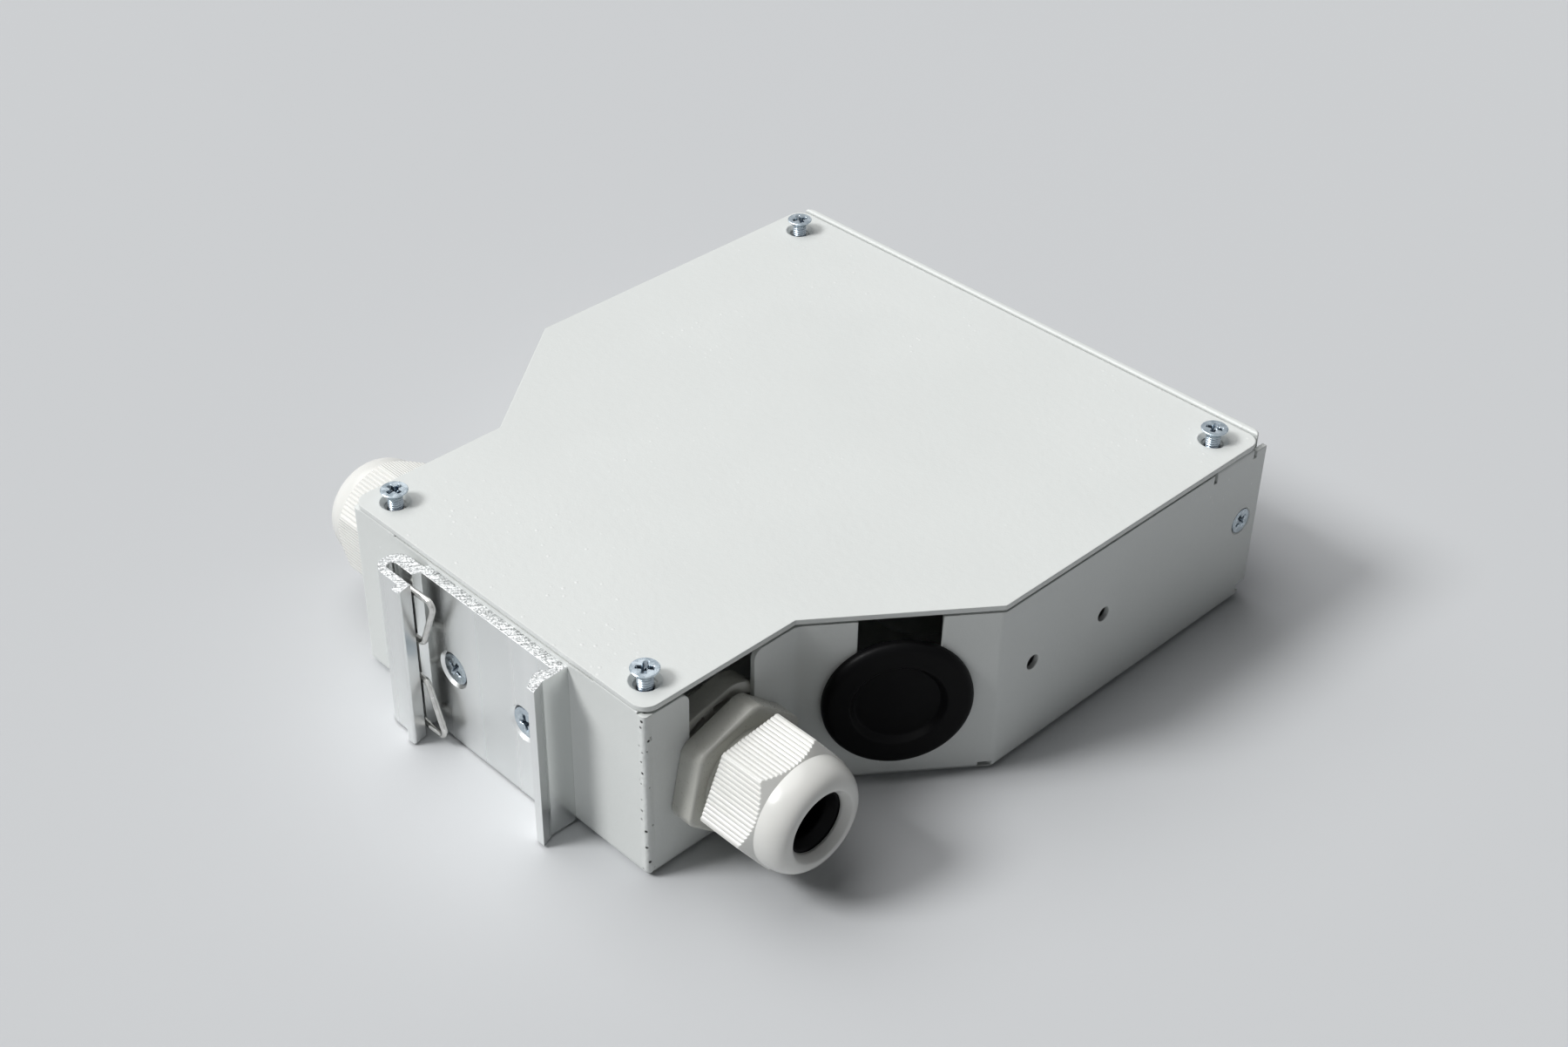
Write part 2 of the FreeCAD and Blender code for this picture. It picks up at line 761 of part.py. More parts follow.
def adapter():
    """Square coupler through the panel, a collar on its front, an alignment sleeve in the middle."""
    body = new_body("adapter_1")
    wide = size("adapter_width") / 2
    tall = size("adapter_height") / 2
    front = size("adapter_front")
    depth = size("panel_sheet") + size("adapter_rear")
    shell = new_sketch(body, "adapter_shell", "XZ_Plane", front)
    draw_outline(shell, rectangle(-wide, -tall, wide, tall))
    pad(body, shell, front + depth, reverse=True)
    collar = new_sketch(body, "adapter_collar", "XZ_Plane")
    edge = size("adapter_collar")
    draw_outline(collar, rectangle(-wide - edge, -tall - edge, wide + edge, tall + edge))
    pad(body, collar, size("adapter_collar_depth"))
    inner = size("adapter_wall")
    for name, lift, reverse in (("mouth", front, False), ("socket", -depth, True)):
        sketch = new_sketch(body, "adapter_" + name, "XZ_Plane", lift)
        draw_outline(sketch, rectangle(inner - wide, inner - tall, wide - inner, tall - inner))
        pocket(body, sketch, size("adapter_mouth"), reverse)
    reach = size("sleeve_reach")
    sleeve = new_sketch(body, "adapter_sleeve", "XZ_Plane", reach)
    draw_outline(sleeve, hexagon(size("sleeve_across"), ZERO))
    pad(body, sleeve, reach * 2 + depth - front, reverse=True)
    return body


def adapter_cap():
    """Dust cap: a plug round the sleeve, a head on the adapter's rim and a grip."""
    body = new_body("adapter_cap_1")
    fit = size("cap_fit")
    inset = size("adapter_wall") + fit
    wide = size("adapter_width") / 2
    tall = size("adapter_height") / 2
    head = new_sketch(body, "cap_head", "XZ_Plane")
    draw_outline(head, rectangle(fit - wide, fit - tall, wide - fit, tall - fit))
    pad(body, head, size("cap_head"))
    grip = new_sketch(body, "cap_grip", "XZ_Plane")
    half = size("cap_grip_width") / 2
    draw_outline(grip, rectangle(-half, -half, half, half))
    pad(body, grip, size("cap_head") + size("cap_grip"))
    plug = new_sketch(body, "cap_plug", "XZ_Plane")
    draw_outline(plug, rectangle(inset - wide, inset - tall, wide - inset, tall - inset))
    pad(body, plug, size("cap_plug"), reverse=True)
    bore = new_sketch(body, "cap_bore", "XZ_Plane", -size("cap_plug"))
    draw_outline(bore, hexagon(size("sleeve_across") + fit * 2, ZERO))
    pocket(body, bore, size("cap_plug"), reverse=True)
    soften(body, "cap_edges", lambda edge: on_plane(edge, "y", -size("cap_head") - size("cap_grip")),
           size("cap_edge"))
    return body


def countersunk_screw(label, thread, head, length):
    """Head up at the origin, shank down -Z, with a cross recess."""
    body = new_body(label)
    rim = size("screw_rim")
    head_depth = (head - thread) / 2 + rim
    turned(body, [(ZERO, ZERO), (head / 2, ZERO), (head / 2, -rim), (thread / 2, -head_depth),
                  (thread / 2, -length), (ZERO, -length)], "screw_profile")
    reach = head * RECESS_SHARE
    wing = size("recess_wing") / 2
    cross = new_sketch(body, "cross_recess")
    draw_outline(cross, [(wing, wing), (wing, reach), (-wing, reach), (-wing, wing), (-reach, wing),
                         (-reach, -wing), (-wing, -wing), (-wing, -reach), (wing, -reach),
                         (wing, -wing), (reach, -wing), (reach, wing)])
    pocket(body, cross, size("recess_depth"))
    return body


OUT_LEFT = Rotation(Vector(0, 1, 0), -90)
OUT_RIGHT = Rotation(Vector(0, 1, 0), 90)
OUT_REAR = Rotation(Vector(1, 0, 0), -90)
IN_FROM_REAR = Rotation(Vector(1, 0, 0), 90)
SIDES = (("left", -1, OUT_LEFT), ("right", 1, OUT_RIGHT))


def small_screws(labels, length):
    """Screws of one length, one for each label."""
    first = countersunk_screw(labels[0], size("screw_thread"), size("screw_head"), length)
    return [first] + [twin(first, label) for label in labels[1:]]


def lid_screws():
    places = [("%s_%s" % (name, side), x * sign, distance)
              for name, (x, distance) in (("front", front_screw), ("rear", rear_screw))
              for side, sign, _ in SIDES]
    screws = small_screws(["lid_screw_" + name for name, _, _ in places], size("lid_screw_length"))
    for screw, (_, x, distance) in zip(screws, places):
        place(screw, x, station(distance), size("lid_top") + size("lid_screw_raised"))
    return screws


def panel_screws():
    screws = small_screws(["panel_screw_" + side for side, _, _ in SIDES], size("panel_screw_length"))
    for screw, (_, sign, turn) in zip(screws, SIDES):
        place(screw, half_wide * sign, station(panel_screw), size("side_hole_height"), turn)
    return screws


def rail_clip():
    """Extruded section: a plate, a fixed hook on one side and a slotted arm for the spring."""
    body = new_body("rail_clip")
    plate = size("clip_plate")
    slot_outer = size("clip_arm_outer") - size("clip_arm")
    slot_inner = slot_outer - size("clip_slot")
    relief = size("clip_relief")
    start = size("clip_relief_start")
    nose = [(size("clip_nose"), relief), (size("clip_nose"), size("clip_arm_outer"))]
    slot_end = [(size("clip_slot_end"), slot_outer), (size("clip_slot_end"), slot_inner)]
    rib = [(size("clip_rib_start"), size("clip_depth")), (size("clip_rib_tip"), size("clip_depth"))]
    hook = -size("hook_outer")
    lip = size("hook_lip")
    undercut = plate + size("hook_undercut")
    outline = [(hook, ZERO), (start, ZERO), (start + relief, relief)] + nose
    outline += [(size("clip_rib_start") + size("clip_rib_root"), size("clip_arm_outer"))] + rib
    outline += [(size("clip_mouth"), slot_outer)] + slot_end
    outline += [(size("clip_land"), slot_inner), (size("clip_land") - size("clip_land_slope"), plate),
                (-size("hook_inner"), plate), (-size("hook_inner"), undercut),
                (lip - size("hook_inner"), undercut + lip),
                (lip - size("hook_inner"), size("hook_waist_end")),
                (-size("hook_inner") - size("hook_flare"), size("hook_tip_depth")),
                (hook - size("hook_flare"), size("hook_tip_depth")),
                (hook, size("hook_waist_end"))]
    section = new_sketch(body, "clip_section")
    draw_outline(section, outline)
    pad(body, section, size("clip_length"))
    soften(body, "clip_nose_round", upright_at(nose), size("clip_nose_radius"))
    soften(body, "clip_slot_round", upright_at(slot_end), size("clip_slot") / 2 - size("clip_round_rest"))
    soften(body, "clip_rib_round", upright_at(rib), size("clip_rib_radius"))
    holes = new_sketch(body, "clip_holes", "XZ_Plane")
    for sign in (-1, 1):
        draw_circle(holes, (size("clip_screw_pitch") / 2 * sign,
                            size("clip_screw_height") - size("clip_foot")), clip_bore)
    pocket(body, holes)
    soften(body, "clip_countersinks", round_on("y", plate), clip_sink, "Chamfer")
    place(body, size("clip_offset"), rear, size("clip_foot"))
    return body


def clip_spring():
    """One wire with two slanted loops that reach out of the clip's slot."""
    body = new_body("clip_spring")
    outer, inner = size("wire_outer"), size("wire_inner")
    upper = [(size("wire_tail"), outer), (size("wire_reach"), outer),
             (size("wire_waist"), inner), (size("wire_back"), inner)]
    path = new_sketch(body, "wire_path", "XZ_Plane")
    draw_bent_line(path, upper + [(x, -z) for x, z in reversed(upper)], size("wire_bend"))
    ring = new_sketch(body, "wire_section", "YZ_Plane", size("wire_tail"))
    draw_circle(ring, (ZERO, outer), size("wire"))
    pipe = body.newObject("PartDesign::AdditivePipe", "wire_pipe")
    pipe.Profile = ring
    pipe.Spine = (path, [])
    pipe.Transition = "Right corner"
    refresh(body, path, ring, pipe)
    slot_outer = size("clip_arm_outer") - size("clip_arm")
    place(body, size("clip_offset"), rear + slot_outer - size("wire") / 2 - size("wire_fit"),
          size("wire_height"))
    return body


def draw_bent_line(sketch, points, bend):
    """An open line through the points whose corners are cut off at this distance from each."""
    flat = [Vector(x.value, y.value, 0) for x, y in points]
    steps = [(after - before).normalize() * bend.value for before, after in zip(flat, flat[1:])]
    starts = [flat[0]] + [point + step for point, step in zip(flat[1:-1], steps[1:])]
    ends = [point - step for point, step in zip(flat[1:-1], steps)] + [flat[-1]]
    runs = [sketch.addGeometry(Part.LineSegment(start, end), False) for start, end in zip(starts, ends)]
    for index, corner in enumerate(flat[1:-1]):
        run, following = runs[index], runs[index + 1]
        chord = sketch.addGeometry(Part.LineSegment(ends[index], starts[index + 1]), False)
        sketch.addConstraint(Sketcher.Constraint("Coincident", run, 2, chord, 1))
        sketch.addConstraint(Sketcher.Constraint("Coincident", chord, 2, following, 1))
        mark = sketch.addGeometry(Part.Point(corner), True)
        tie_point(sketch, mark, 1, points[index + 1])
        for line, end in ((run, 2), (following, 1)):
            sketch.addConstraint(Sketcher.Constraint("PointOnObject", mark, 1, line))
            tie(sketch, Sketcher.Constraint("Distance", mark, 1, line, end, bend.value), bend)
    tie_point(sketch, runs[0], 1, points[0])
    tie_point(sketch, runs[-1], 2, points[-1])


def clip_fasteners():
    """Two countersunk screws through the clip and the rear wall into hexagon nuts."""
    screw = countersunk_screw("clip_screw_1", size("clip_screw_thread"), size("clip_screw_head"),
                              size("clip_screw_length"))
    nut = new_body("clip_nut_1")
    sketch = new_sketch(nut, "clip_nut_outline")
    draw_outline(sketch, hexagon(size("clip_nut_across"), ZERO))
    draw_circle(sketch, (ZERO, ZERO), clip_bore)
    pad(nut, sketch, size("clip_nut_thick"))
    screws = [screw, twin(screw, "clip_screw_2")]
    nuts = [nut, twin(nut, "clip_nut_2")]
    for screw, nut, sign in zip(screws, nuts, (-1, 1)):
        x, height = clip_screw_x(sign), size("clip_screw_height")
        place(screw, x, rear + size("clip_plate") - size("clip_screw_recess"), height, OUT_REAR)
        place(nut, x, station(size("sheet")), height, IN_FROM_REAR)
    return screws + nuts


def gland_body():
    """Hexagon flange on the wall, thread through it, neck and clamping sleeve under the nut."""
    body = new_body("gland_body_left")
    flange = new_sketch(body, "gland_flange")
    draw_outline(flange, hexagon(size("gland_hex"), size("gland_turn")))
    pad(body, flange, size("gland_hex_thick"))
    soften(body, "gland_bevel", lambda edge: on_plane(edge, "z", size("gland_hex_thick")),
           size("gland_hex_bevel"), "Chamfer")
    bore = size("gland_bore") / 2
    neck = size("gland_neck") / 2
    claw = size("gland_claw") / 2
    thread = size("gland_thread") / 2
    turned(body, [(ZERO, -size("gland_tail")), (thread, -size("gland_tail")), (thread, ZERO + PAST),
                  (neck, ZERO + PAST), (neck, size("gland_neck_end")), (claw, size("gland_neck_end")),
                  (claw, size("gland_claw_end")), (ZERO, size("gland_claw_end"))], "gland_stem")
    hole = new_sketch(body, "gland_bore")
    draw_circle(hole, (ZERO, ZERO), bore * 2)
    pocket(body, hole)
    return body


def gland_locknut():
    body = new_body("gland_locknut_left")
    sketch = new_sketch(body, "locknut_outline", lift=-size("sheet"))
    draw_outline(sketch, hexagon(size("locknut_across"), size("locknut_turn")))
    draw_circle(sketch, (ZERO, ZERO), size("gland_thread") + size("thread_clearance") * 2)
    pad(body, sketch, size("locknut_thick"), reverse=True)
    return body


def gland_nut():
    """Six-sided dome nut: a hexagon whose outer end is turned to a dome, fine ribs on its flats."""
    body = new_body("gland_nut_left")
    outline = new_sketch(body, "nut_outline", lift=size("nut_start"))
    across = size("nut_across")
    draw_outline(outline, hexagon(across, size("nut_turn")))
    pad(body, outline, size("nut_end") - size("nut_start"))
    corner = across / (2 * math.cos(math.radians(30)))
    mouth = size("nut_mouth") / 2
    crown = dome_points(across / 2, mouth, size("nut_dome_start"), size("nut_end"))
    past = corner + PAST
    turned(body, [(past, size("nut_rib_end")), (corner, size("nut_rib_end"))] + crown +
           [(mouth, size("nut_end") + PAST), (past, size("nut_end") + PAST)], "nut_dome", cut=True)
    inner = size("gland_neck") / 2 + size("nut_fit")
    seal = size("seal_outer") / 2 + size("nut_fit") * 2
    pocket_end = size("gland_claw_end") + size("nut_fit") * 2
    seat = size("seal_end") + size("nut_fit")
    turned(body, [(ZERO, size("nut_start") - PAST), (inner, size("nut_start") - PAST), (inner, pocket_end),
                  (seal, size("nut_dome_start") + size("nut_wall")), (seal, seat), (mouth, seat),
                  (mouth, size("nut_end") + PAST), (ZERO, size("nut_end") + PAST)], "nut_bore", cut=True)
    grooves = new_sketch(body, "rib_grooves", lift=size("nut_start"))
    half_gap = size("rib_gap") / 2
    for index in range(GROOVES_PER_FLAT):
        middle = size("rib_pitch") * (index - (GROOVES_PER_FLAT - 1) / 2)
        draw_outline(grooves, rectangle(across / 2 - size("rib_depth"), middle - half_gap,
                                        across / 2 + PAST, middle + half_gap))
    groove_cut = pocket(body, grooves, size("nut_rib_end") - size("nut_start"), reverse=True)
    around = body.newObject("PartDesign::PolarPattern", "ribs_around")
    around.Originals = [groove_cut]
    around.Axis = (grooves, ["N_Axis"])
    around.Angle = 360
    around.Occurrences = 6
    body.Tip = around
    refresh(body, around)
    return body


def dome_points(shoulder, mouth, start, end):
    """Quarter of an ellipse from the shoulder to the rounded lip of the mouth, in a few chords."""
    points = []
    for step in range(DOME_CHORDS + 1):
        angle = math.radians(90 * step / DOME_CHORDS)
        points.append((mouth + (shoulder - mouth) * math.cos(angle), start + (end - start) * math.sin(angle)))
    return points


def gland_seal():
    body = new_body("gland_seal_left")
    outer, inner = size("seal_outer") / 2, size("seal_inner") / 2
    turned(body, [(inner, size("seal_start")), (outer, size("seal_start")), (outer, size("seal_end")),
                  (inner + size("seal_lip"), size("seal_end")),
                  (inner, size("seal_end") - size("seal_lip"))], "seal_profile")
    return body


def glands():
    """The pieces of the left cable gland and their twins on the right."""
    pieces = []
    for maker in (gland_body, gland_locknut, gland_nut, gland_seal):
        left = maker()
        pair = left, twin(left, left.Label.replace("left", "right"))
        for piece, (_, sign, turn) in zip(pair, SIDES):
            place(piece, half_narrow * sign, station(size("gland_station")), size("gland_height"), turn)
            pieces.append(piece)
    return pieces


def blanking_plugs():
    """Rubber plug with a dished rim outside, a neck in the hole and a barb behind the wall."""
    body = new_body("blanking_plug_left")
    rim, neck, barb = size("plug_rim") / 2, size("plug_neck") / 2, size("plug_barb") / 2
    dish = size("plug_dish") / 2
    back = -size("sheet") - size("plug_fit")
    thick = size("plug_rim_thick")
    low = thick - size("plug_dish_depth")
    edge = size("plug_edge")
    middle = edge * (1 - math.cos(math.radians(45)))
    turned(body, [(ZERO, low), (dish, low), (dish + size("plug_dish_depth"), thick), (rim - edge, thick),
                  (rim - middle, thick - middle), (rim, thick - edge), (rim, ZERO), (neck, ZERO),
                  (neck, back), (barb, back), (neck, back - size("plug_barb_thick")),
                  (ZERO, back - size("plug_barb_thick"))], "plug_profile")
    plugs = [body, twin(body, "blanking_plug_right")]
    tilt = math.degrees(math.atan2(shoulder_rise.value, shoulder_run.value))
    for plug, (_, sign, _) in zip(plugs, SIDES):
        x, y = shoulder_middle(sign)
        place(plug, x, y, size("entry_height"), Rotation(Vector(0, 0, 1), -sign * tilt).multiply(OUT_REAR))
    return plugs


def splice_tray():
    """Round-cornered tray with two winding cores, open at its rear corners for the fibres."""
    body = new_body("splice_tray")
    wide, deep = size("tray_width") / 2, size("tray_length") / 2
    wall = size("tray_wall")
    corners = rectangle(-wide, -deep, wide, deep)
    plan = new_sketch(body, "tray_outline")
    draw_outline(plan, corners)
    pad(body, plan, size("tray_rise"))
    inner = rectangle(wall - wide, wall - deep, wide - wall, deep - wall)
    hollow = new_sketch(body, "tray_inside", lift=wall)
    draw_outline(hollow, inner)
    pocket(body, hollow, size("tray_rise"), reverse=True)
    soften(body, "tray_inside_corners", upright_at(inner), size("tray_corner") - wall)
    soften(body, "tray_corners", upright_at(corners), size("tray_corner"))
    cores = new_sketch(body, "cores", lift=wall)
    holes = new_sketch(body, "core_holes")
    for sign in (-1, 1):
        middle = (size("core_pitch") / 2 * sign, ZERO)
        draw_circle(cores, middle, size("core_outer"))
        draw_circle(cores, middle, size("core_outer") - size("core_wall") * 2)
        draw_circle(holes, middle, tapped)
    pad(body, cores, size("tray_rise") - wall)
    pocket(body, holes, wall * 2, reverse=True)
    gates = new_sketch(body, "tray_gates", lift=wall)
    right = rectangle(wide - size("tray_corner") - size("tray_window"), deep - wall * 2,
                      wide - size("tray_corner"), deep + PAST)
    draw_outline(gates, right)
    draw_outline(gates, mirrored(right))
    pocket(body, gates, size("tray_rise"), reverse=True)
    place(body, ZERO, station(size("tray_station")), size("sheet") + size("tray_gap"))
    return body


def splice_holder():
    """Comb for heat-shrink splice sleeves on the floor of the tray."""
    body = new_body("splice_holder")
    wide, deep = size("holder_width") / 2, size("holder_length") / 2
    plan = new_sketch(body, "holder_base")
    draw_outline(plan, rectangle(-wide, -deep, wide, deep))
    pad(body, plan, size("holder_base"))
    ribs = new_sketch(body, "holder_ribs")
    for index in range(HOLDER_RIBS):
        middle = size("holder_pitch") * (index - (HOLDER_RIBS - 1) / 2)
        half = size("holder_rib") / 2
        draw_outline(ribs, rectangle(middle - half, -deep, middle + half, deep))
    pad(body, ribs, size("holder_base") + size("holder_rise"))
    place(body, ZERO, station(size("tray_station")), size("sheet") + size("tray_gap") + size("tray_wall"))
    return body


def tray_fasteners():
    """Two round standoffs riveted in the floor, each with a pan-head screw through the tray."""
    standoff = new_body("standoff_1")
    outer, spigot, bore = size("standoff") / 2, size("standoff_spigot") / 2, tapped / 2
    turned(standoff, [(bore, -size("sheet")), (spigot, -size("sheet")), (spigot, ZERO), (outer, ZERO),
                      (outer, size("tray_gap")), (bore, size("tray_gap"))], "standoff_profile")
    screw = new_body("tray_screw_1")
    head, shank = size("tray_screw_head") / 2, size("screw_thread") / 2
    thick = size("tray_screw_head_thick")
    edge = size("tray_screw_edge")
    turned(screw, [(ZERO, thick), (head - edge, thick), (head, thick - edge), (head, ZERO), (shank, ZERO),
                   (shank, -size("tray_screw_length")), (ZERO, -size("tray_screw_length"))],
           "tray_screw_profile")
    standoffs = [standoff, twin(standoff, "standoff_2")]
    screws = [screw, twin(screw, "tray_screw_2")]
    for standoff, screw, sign in zip(standoffs, screws, (-1, 1)):
        x, y = size("core_pitch") / 2 * sign, station(size("tray_station"))
        place(standoff, x, y, size("sheet"))
        place(screw, x, y, size("sheet") + size("tray_gap") + size("tray_wall"))
    return standoffs + screws


def adapters():
    """A coupler and its dust cap in every port of the panel."""
    coupler, cap = adapter(), adapter_cap()
    couplers = [coupler] + [twin(coupler, "adapter_%d" % port) for port in range(2, PORTS + 1)]
    caps = [cap] + [twin(cap, "adapter_cap_%d" % port) for port in range(2, PORTS + 1)]
    for port in range(PORTS):
        place(couplers[port], port_x(port), station(panel_front), size("entry_height"))
        place(caps[port], port_x(port), station(panel_front + size("adapter_front")), size("entry_height"))
    return couplers + caps


def build():
    pieces = [base_tray(), lid(), front_panel(), rail_clip(), clip_spring()]
    pieces += clip_fasteners() + lid_screws() + panel_screws() + glands() + blanking_plugs()
    pieces += adapters() + [splice_tray(), splice_holder()] + tray_fasteners()
    doc.recompute()
    return pieces


def check_and_write(pieces):
    failed = [thing.Name for thing in doc.Objects if {"Invalid", "Error"} & set(thing.State)]
    if failed:
        raise RuntimeError("failed objects: %s" % ", ".join(failed))
    for piece in pieces:
        shape = piece.Shape
        if shape.isNull() or not shape.isValid() or not shape.Solids:
            raise RuntimeError("%s has no valid solid" % piece.Label)
    os.makedirs("parts", exist_ok=True)
    for piece in pieces:
        piece.Shape.exportStep("parts/%s.step" % piece.Label)
    print("%d pieces written" % len(pieces))


check_and_write(build())
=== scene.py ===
import bmesh
import bpy
import json
import math
import numpy as np
from mathutils import Matrix, Vector


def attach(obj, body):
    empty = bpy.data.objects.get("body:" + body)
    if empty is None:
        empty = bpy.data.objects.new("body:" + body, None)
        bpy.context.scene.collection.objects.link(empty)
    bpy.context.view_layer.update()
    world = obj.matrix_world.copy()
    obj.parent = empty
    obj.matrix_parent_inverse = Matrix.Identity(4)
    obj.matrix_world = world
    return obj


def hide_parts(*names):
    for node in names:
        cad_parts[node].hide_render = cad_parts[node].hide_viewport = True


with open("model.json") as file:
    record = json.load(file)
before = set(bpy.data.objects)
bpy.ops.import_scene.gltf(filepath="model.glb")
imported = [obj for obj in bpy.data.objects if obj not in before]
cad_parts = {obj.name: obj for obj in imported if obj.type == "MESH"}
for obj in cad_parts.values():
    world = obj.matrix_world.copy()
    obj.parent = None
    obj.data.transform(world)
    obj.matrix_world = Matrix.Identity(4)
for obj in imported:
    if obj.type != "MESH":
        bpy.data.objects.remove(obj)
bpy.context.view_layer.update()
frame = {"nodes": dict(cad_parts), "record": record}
nodes = frame["nodes"]
print("frame loaded:", len(nodes), "nodes")

# The camera looks at the rear wall and the left side from above, as the photograph does.
cameraPlace = {
    "photoWidth": 1800, "photoHeight": 1202,
    "focalPixels": 2564.1,
    "opticalAxis": (844.0, 589.8),                               # pixel that the optical axis passes through
    "azimuth": 226.537, "elevation": 36.273, "roll": 0.127,      # degrees
    "spot": (-0.24877, 0.24901, 0.27867), "nearest": 0.01,       # metres
    "sensorWidth": 36,                                           # millimetres
}


def makeCamera(place):
    azimuth, elevation, roll = (math.radians(place[key]) for key in ("azimuth", "elevation", "roll"))
    back = Vector((math.sin(azimuth) * math.cos(elevation), -math.cos(azimuth) * math.cos(elevation),
                   math.sin(elevation)))
    level = Vector((math.cos(azimuth), math.sin(azimuth), 0))
    above = back.cross(level)
    right = math.cos(roll) * level + math.sin(roll) * above
    up = back.cross(right)
    data = bpy.data.cameras.new("photoCamera")
    data.sensor_width = place["sensorWidth"]
    data.lens = place["focalPixels"] * place["sensorWidth"] / place["photoWidth"]
    across, down = place["opticalAxis"]
    data.shift_x = (place["photoWidth"] / 2 - across) / place["photoWidth"]
    data.shift_y = (down - place["photoHeight"] / 2) / place["photoWidth"]
    data.clip_start = place["nearest"]
    camera = bpy.data.objects.new("photoCamera", data)
    turn = Matrix((right, up, back)).transposed().to_4x4()
    camera.matrix_world = Matrix.Translation(place["spot"]) @ turn
    bpy.context.scene.collection.objects.link(camera)
    bpy.context.scene.camera = camera


makeCamera(cameraPlace)
print("camera ready")


def linear(hexColour):
    # sRGB hex such as "d3d6d4" to a linear colour with full alpha
    parts = [int(hexColour[start:start + 2], 16) / 255 for start in (0, 2, 4)]
    return tuple(p / 12.92 if p <= 0.04045 else ((p + 0.055) / 1.055) ** 2.4 for p in parts) + (1.0,)


def addNode(tree, kind, settings=None, links=None):
    # settings: a property's or an input's name to its value; links: an input's name to a socket,
    # or to a node, which stands for its first enabled output
    node = tree.nodes.new("ShaderNode" + kind)

    def entry(key):
        if isinstance(key, int):
            return node.inputs[key]
        return next(socket for socket in node.inputs if socket.enabled and socket.name == key)

    for key, value in (settings or {}).items():
        if isinstance(key, str) and hasattr(node, key):
            setattr(node, key, value)
        else:
            entry(key).default_value = value
    for key, source in (links or {}).items():
        if isinstance(source, bpy.types.Node):
            source = next(socket for socket in source.outputs if socket.enabled)
        tree.links.new(source, entry(key))
    return node


def startMaterial(name, settings):
    material = bpy.data.materials.new(name)
    material.use_nodes = True
    tree = material.node_tree
    tree.nodes.clear()
    shader = addNode(tree, "BsdfPrincipled", settings)
    addNode(tree, "OutputMaterial", links={"Surface": shader})
    coordinates = addNode(tree, "TexCoord")
    return material, tree, shader, coordinates


def finishShader(tree, shader, colour, gloss, relief):
    # colour is a Mix node of colours
    tree.links.new(colour.outputs[2], shader.inputs["Base Color"])
    tree.links.new(gloss.outputs[0], shader.inputs["Roughness"])
    tree.links.new(relief.outputs[0], shader.inputs["Normal"])


def fromSpan(low, high):
    return {"From Min": low, "From Max": high}


def toSpan(first, last):
    return {"To Min": first, "To Max": last}


def twoColours(first, second):
    return {"data_type": "RGBA", "A": linear(first), "B": linear(second)}


studio = {
    # a light's level is the brightness of a white face square to it, its angle is in degrees across
    "keyLight": {"from": (0.39, 0.61, 0.69), "level": 0.66, "angle": 19},
    "topLight": {"from": (0.5, 0.1, 1.0), "level": 0.58, "angle": 62},
    "sky": "fcfdff", "skyLevel": 0.061,
    "floor": "c6c8ca", "backdrop": "d0d2d4",
    "farSide": 0.45, "keySide": 1.25,          # the room as metal sees it, away from the key and towards it
    "floorHalf": 2.5,                          # metres
    "cloudsPerMetre": 3.0, "paperContrast": 0.12, "paperRoughness": 0.9,
}


def makeWorld(look):
    # The room is plain and pale. In a reflection it is dimmer on the side away from the key light.
    world = bpy.data.worlds.new("studioWorld")
    world.use_nodes = True
    tree = world.node_tree
    tree.nodes.clear()
    path = addNode(tree, "LightPath")
    mirrored = addNode(tree, "Math", {"operation": "MAXIMUM"},
                       {0: path.outputs["Is Glossy Ray"], 1: path.outputs["Is Transmission Ray"]})
    seen = addNode(tree, "Math", {"operation": "MAXIMUM"}, {0: path.outputs["Is Camera Ray"], 1: mirrored})
    sky = addNode(tree, "Background", {"Color": linear(look["sky"]), "Strength": look["skyLevel"]})
    towards = addNode(tree, "VectorMath", {"operation": "DOT_PRODUCT", 1: look["keyLight"]["from"]},
                      {0: addNode(tree, "TexCoord").outputs["Generated"]})
    room = addNode(tree, "MapRange", {**fromSpan(-1.0, 1.0), **toSpan(look["farSide"], look["keySide"])},
                   {"Value": towards.outputs["Value"]})
    level = addNode(tree, "Mix", {"A": 1.0}, {"Factor": mirrored, "B": room})
    back = addNode(tree, "Background", {"Color": linear(look["backdrop"])}, {"Strength": level})
    mixed = addNode(tree, "MixShader", links={0: seen, 1: sky, 2: back})
    addNode(tree, "OutputWorld", links={"Surface": mixed})
    bpy.context.scene.world = world


def studioPaper(look):
    # Matt studio paper: even, with the faintest cloudiness
    material, tree, shader, coordinates = startMaterial("studioPaper", {"Roughness": look["paperRoughness"]})
    cloud = addNode(tree, "TexNoise", {"Scale": look["cloudsPerMetre"], "Detail": 2.0},
                    {"Vector": coordinates.outputs["Object"]})
    faint = addNode(tree, "MapRange", toSpan(0.0, look["paperContrast"]), {"Value": cloud})
    tint = addNode(tree, "Mix", twoColours(look["floor"], look["backdrop"]), {"Factor": faint})
    tree.links.new(tint.outputs[2], shader.inputs["Base Color"])
    return material


def makeStudio(look):
    scene = bpy.context.scene
    for name in ("keyLight", "topLight"):
        light = look[name]
        data = bpy.data.lights.new(name, "SUN")
        data.energy = light["level"] * math.pi
        data.angle = math.radians(light["angle"])
        lamp = bpy.data.objects.new(name, data)
        lamp.rotation_euler = Vector(light["from"]).to_track_quat("Z", "Y").to_euler()
        scene.collection.objects.link(lamp)
    makeWorld(look)
    half = look["floorHalf"]
    mesh = bpy.data.meshes.new("studioFloor")
    corners = [(-half, -half, 0), (half, -half, 0), (half, half, 0), (-half, half, 0)]
    mesh.from_pydata(corners, [], [(0, 1, 2, 3)])
    mesh.materials.append(studioPaper(look))
    floor = bpy.data.objects.new("studioFloor", mesh)
    scene.collection.objects.link(floor)
    scene.view_settings.view_transform = "Standard"


makeStudio(studio)
print("studio ready")

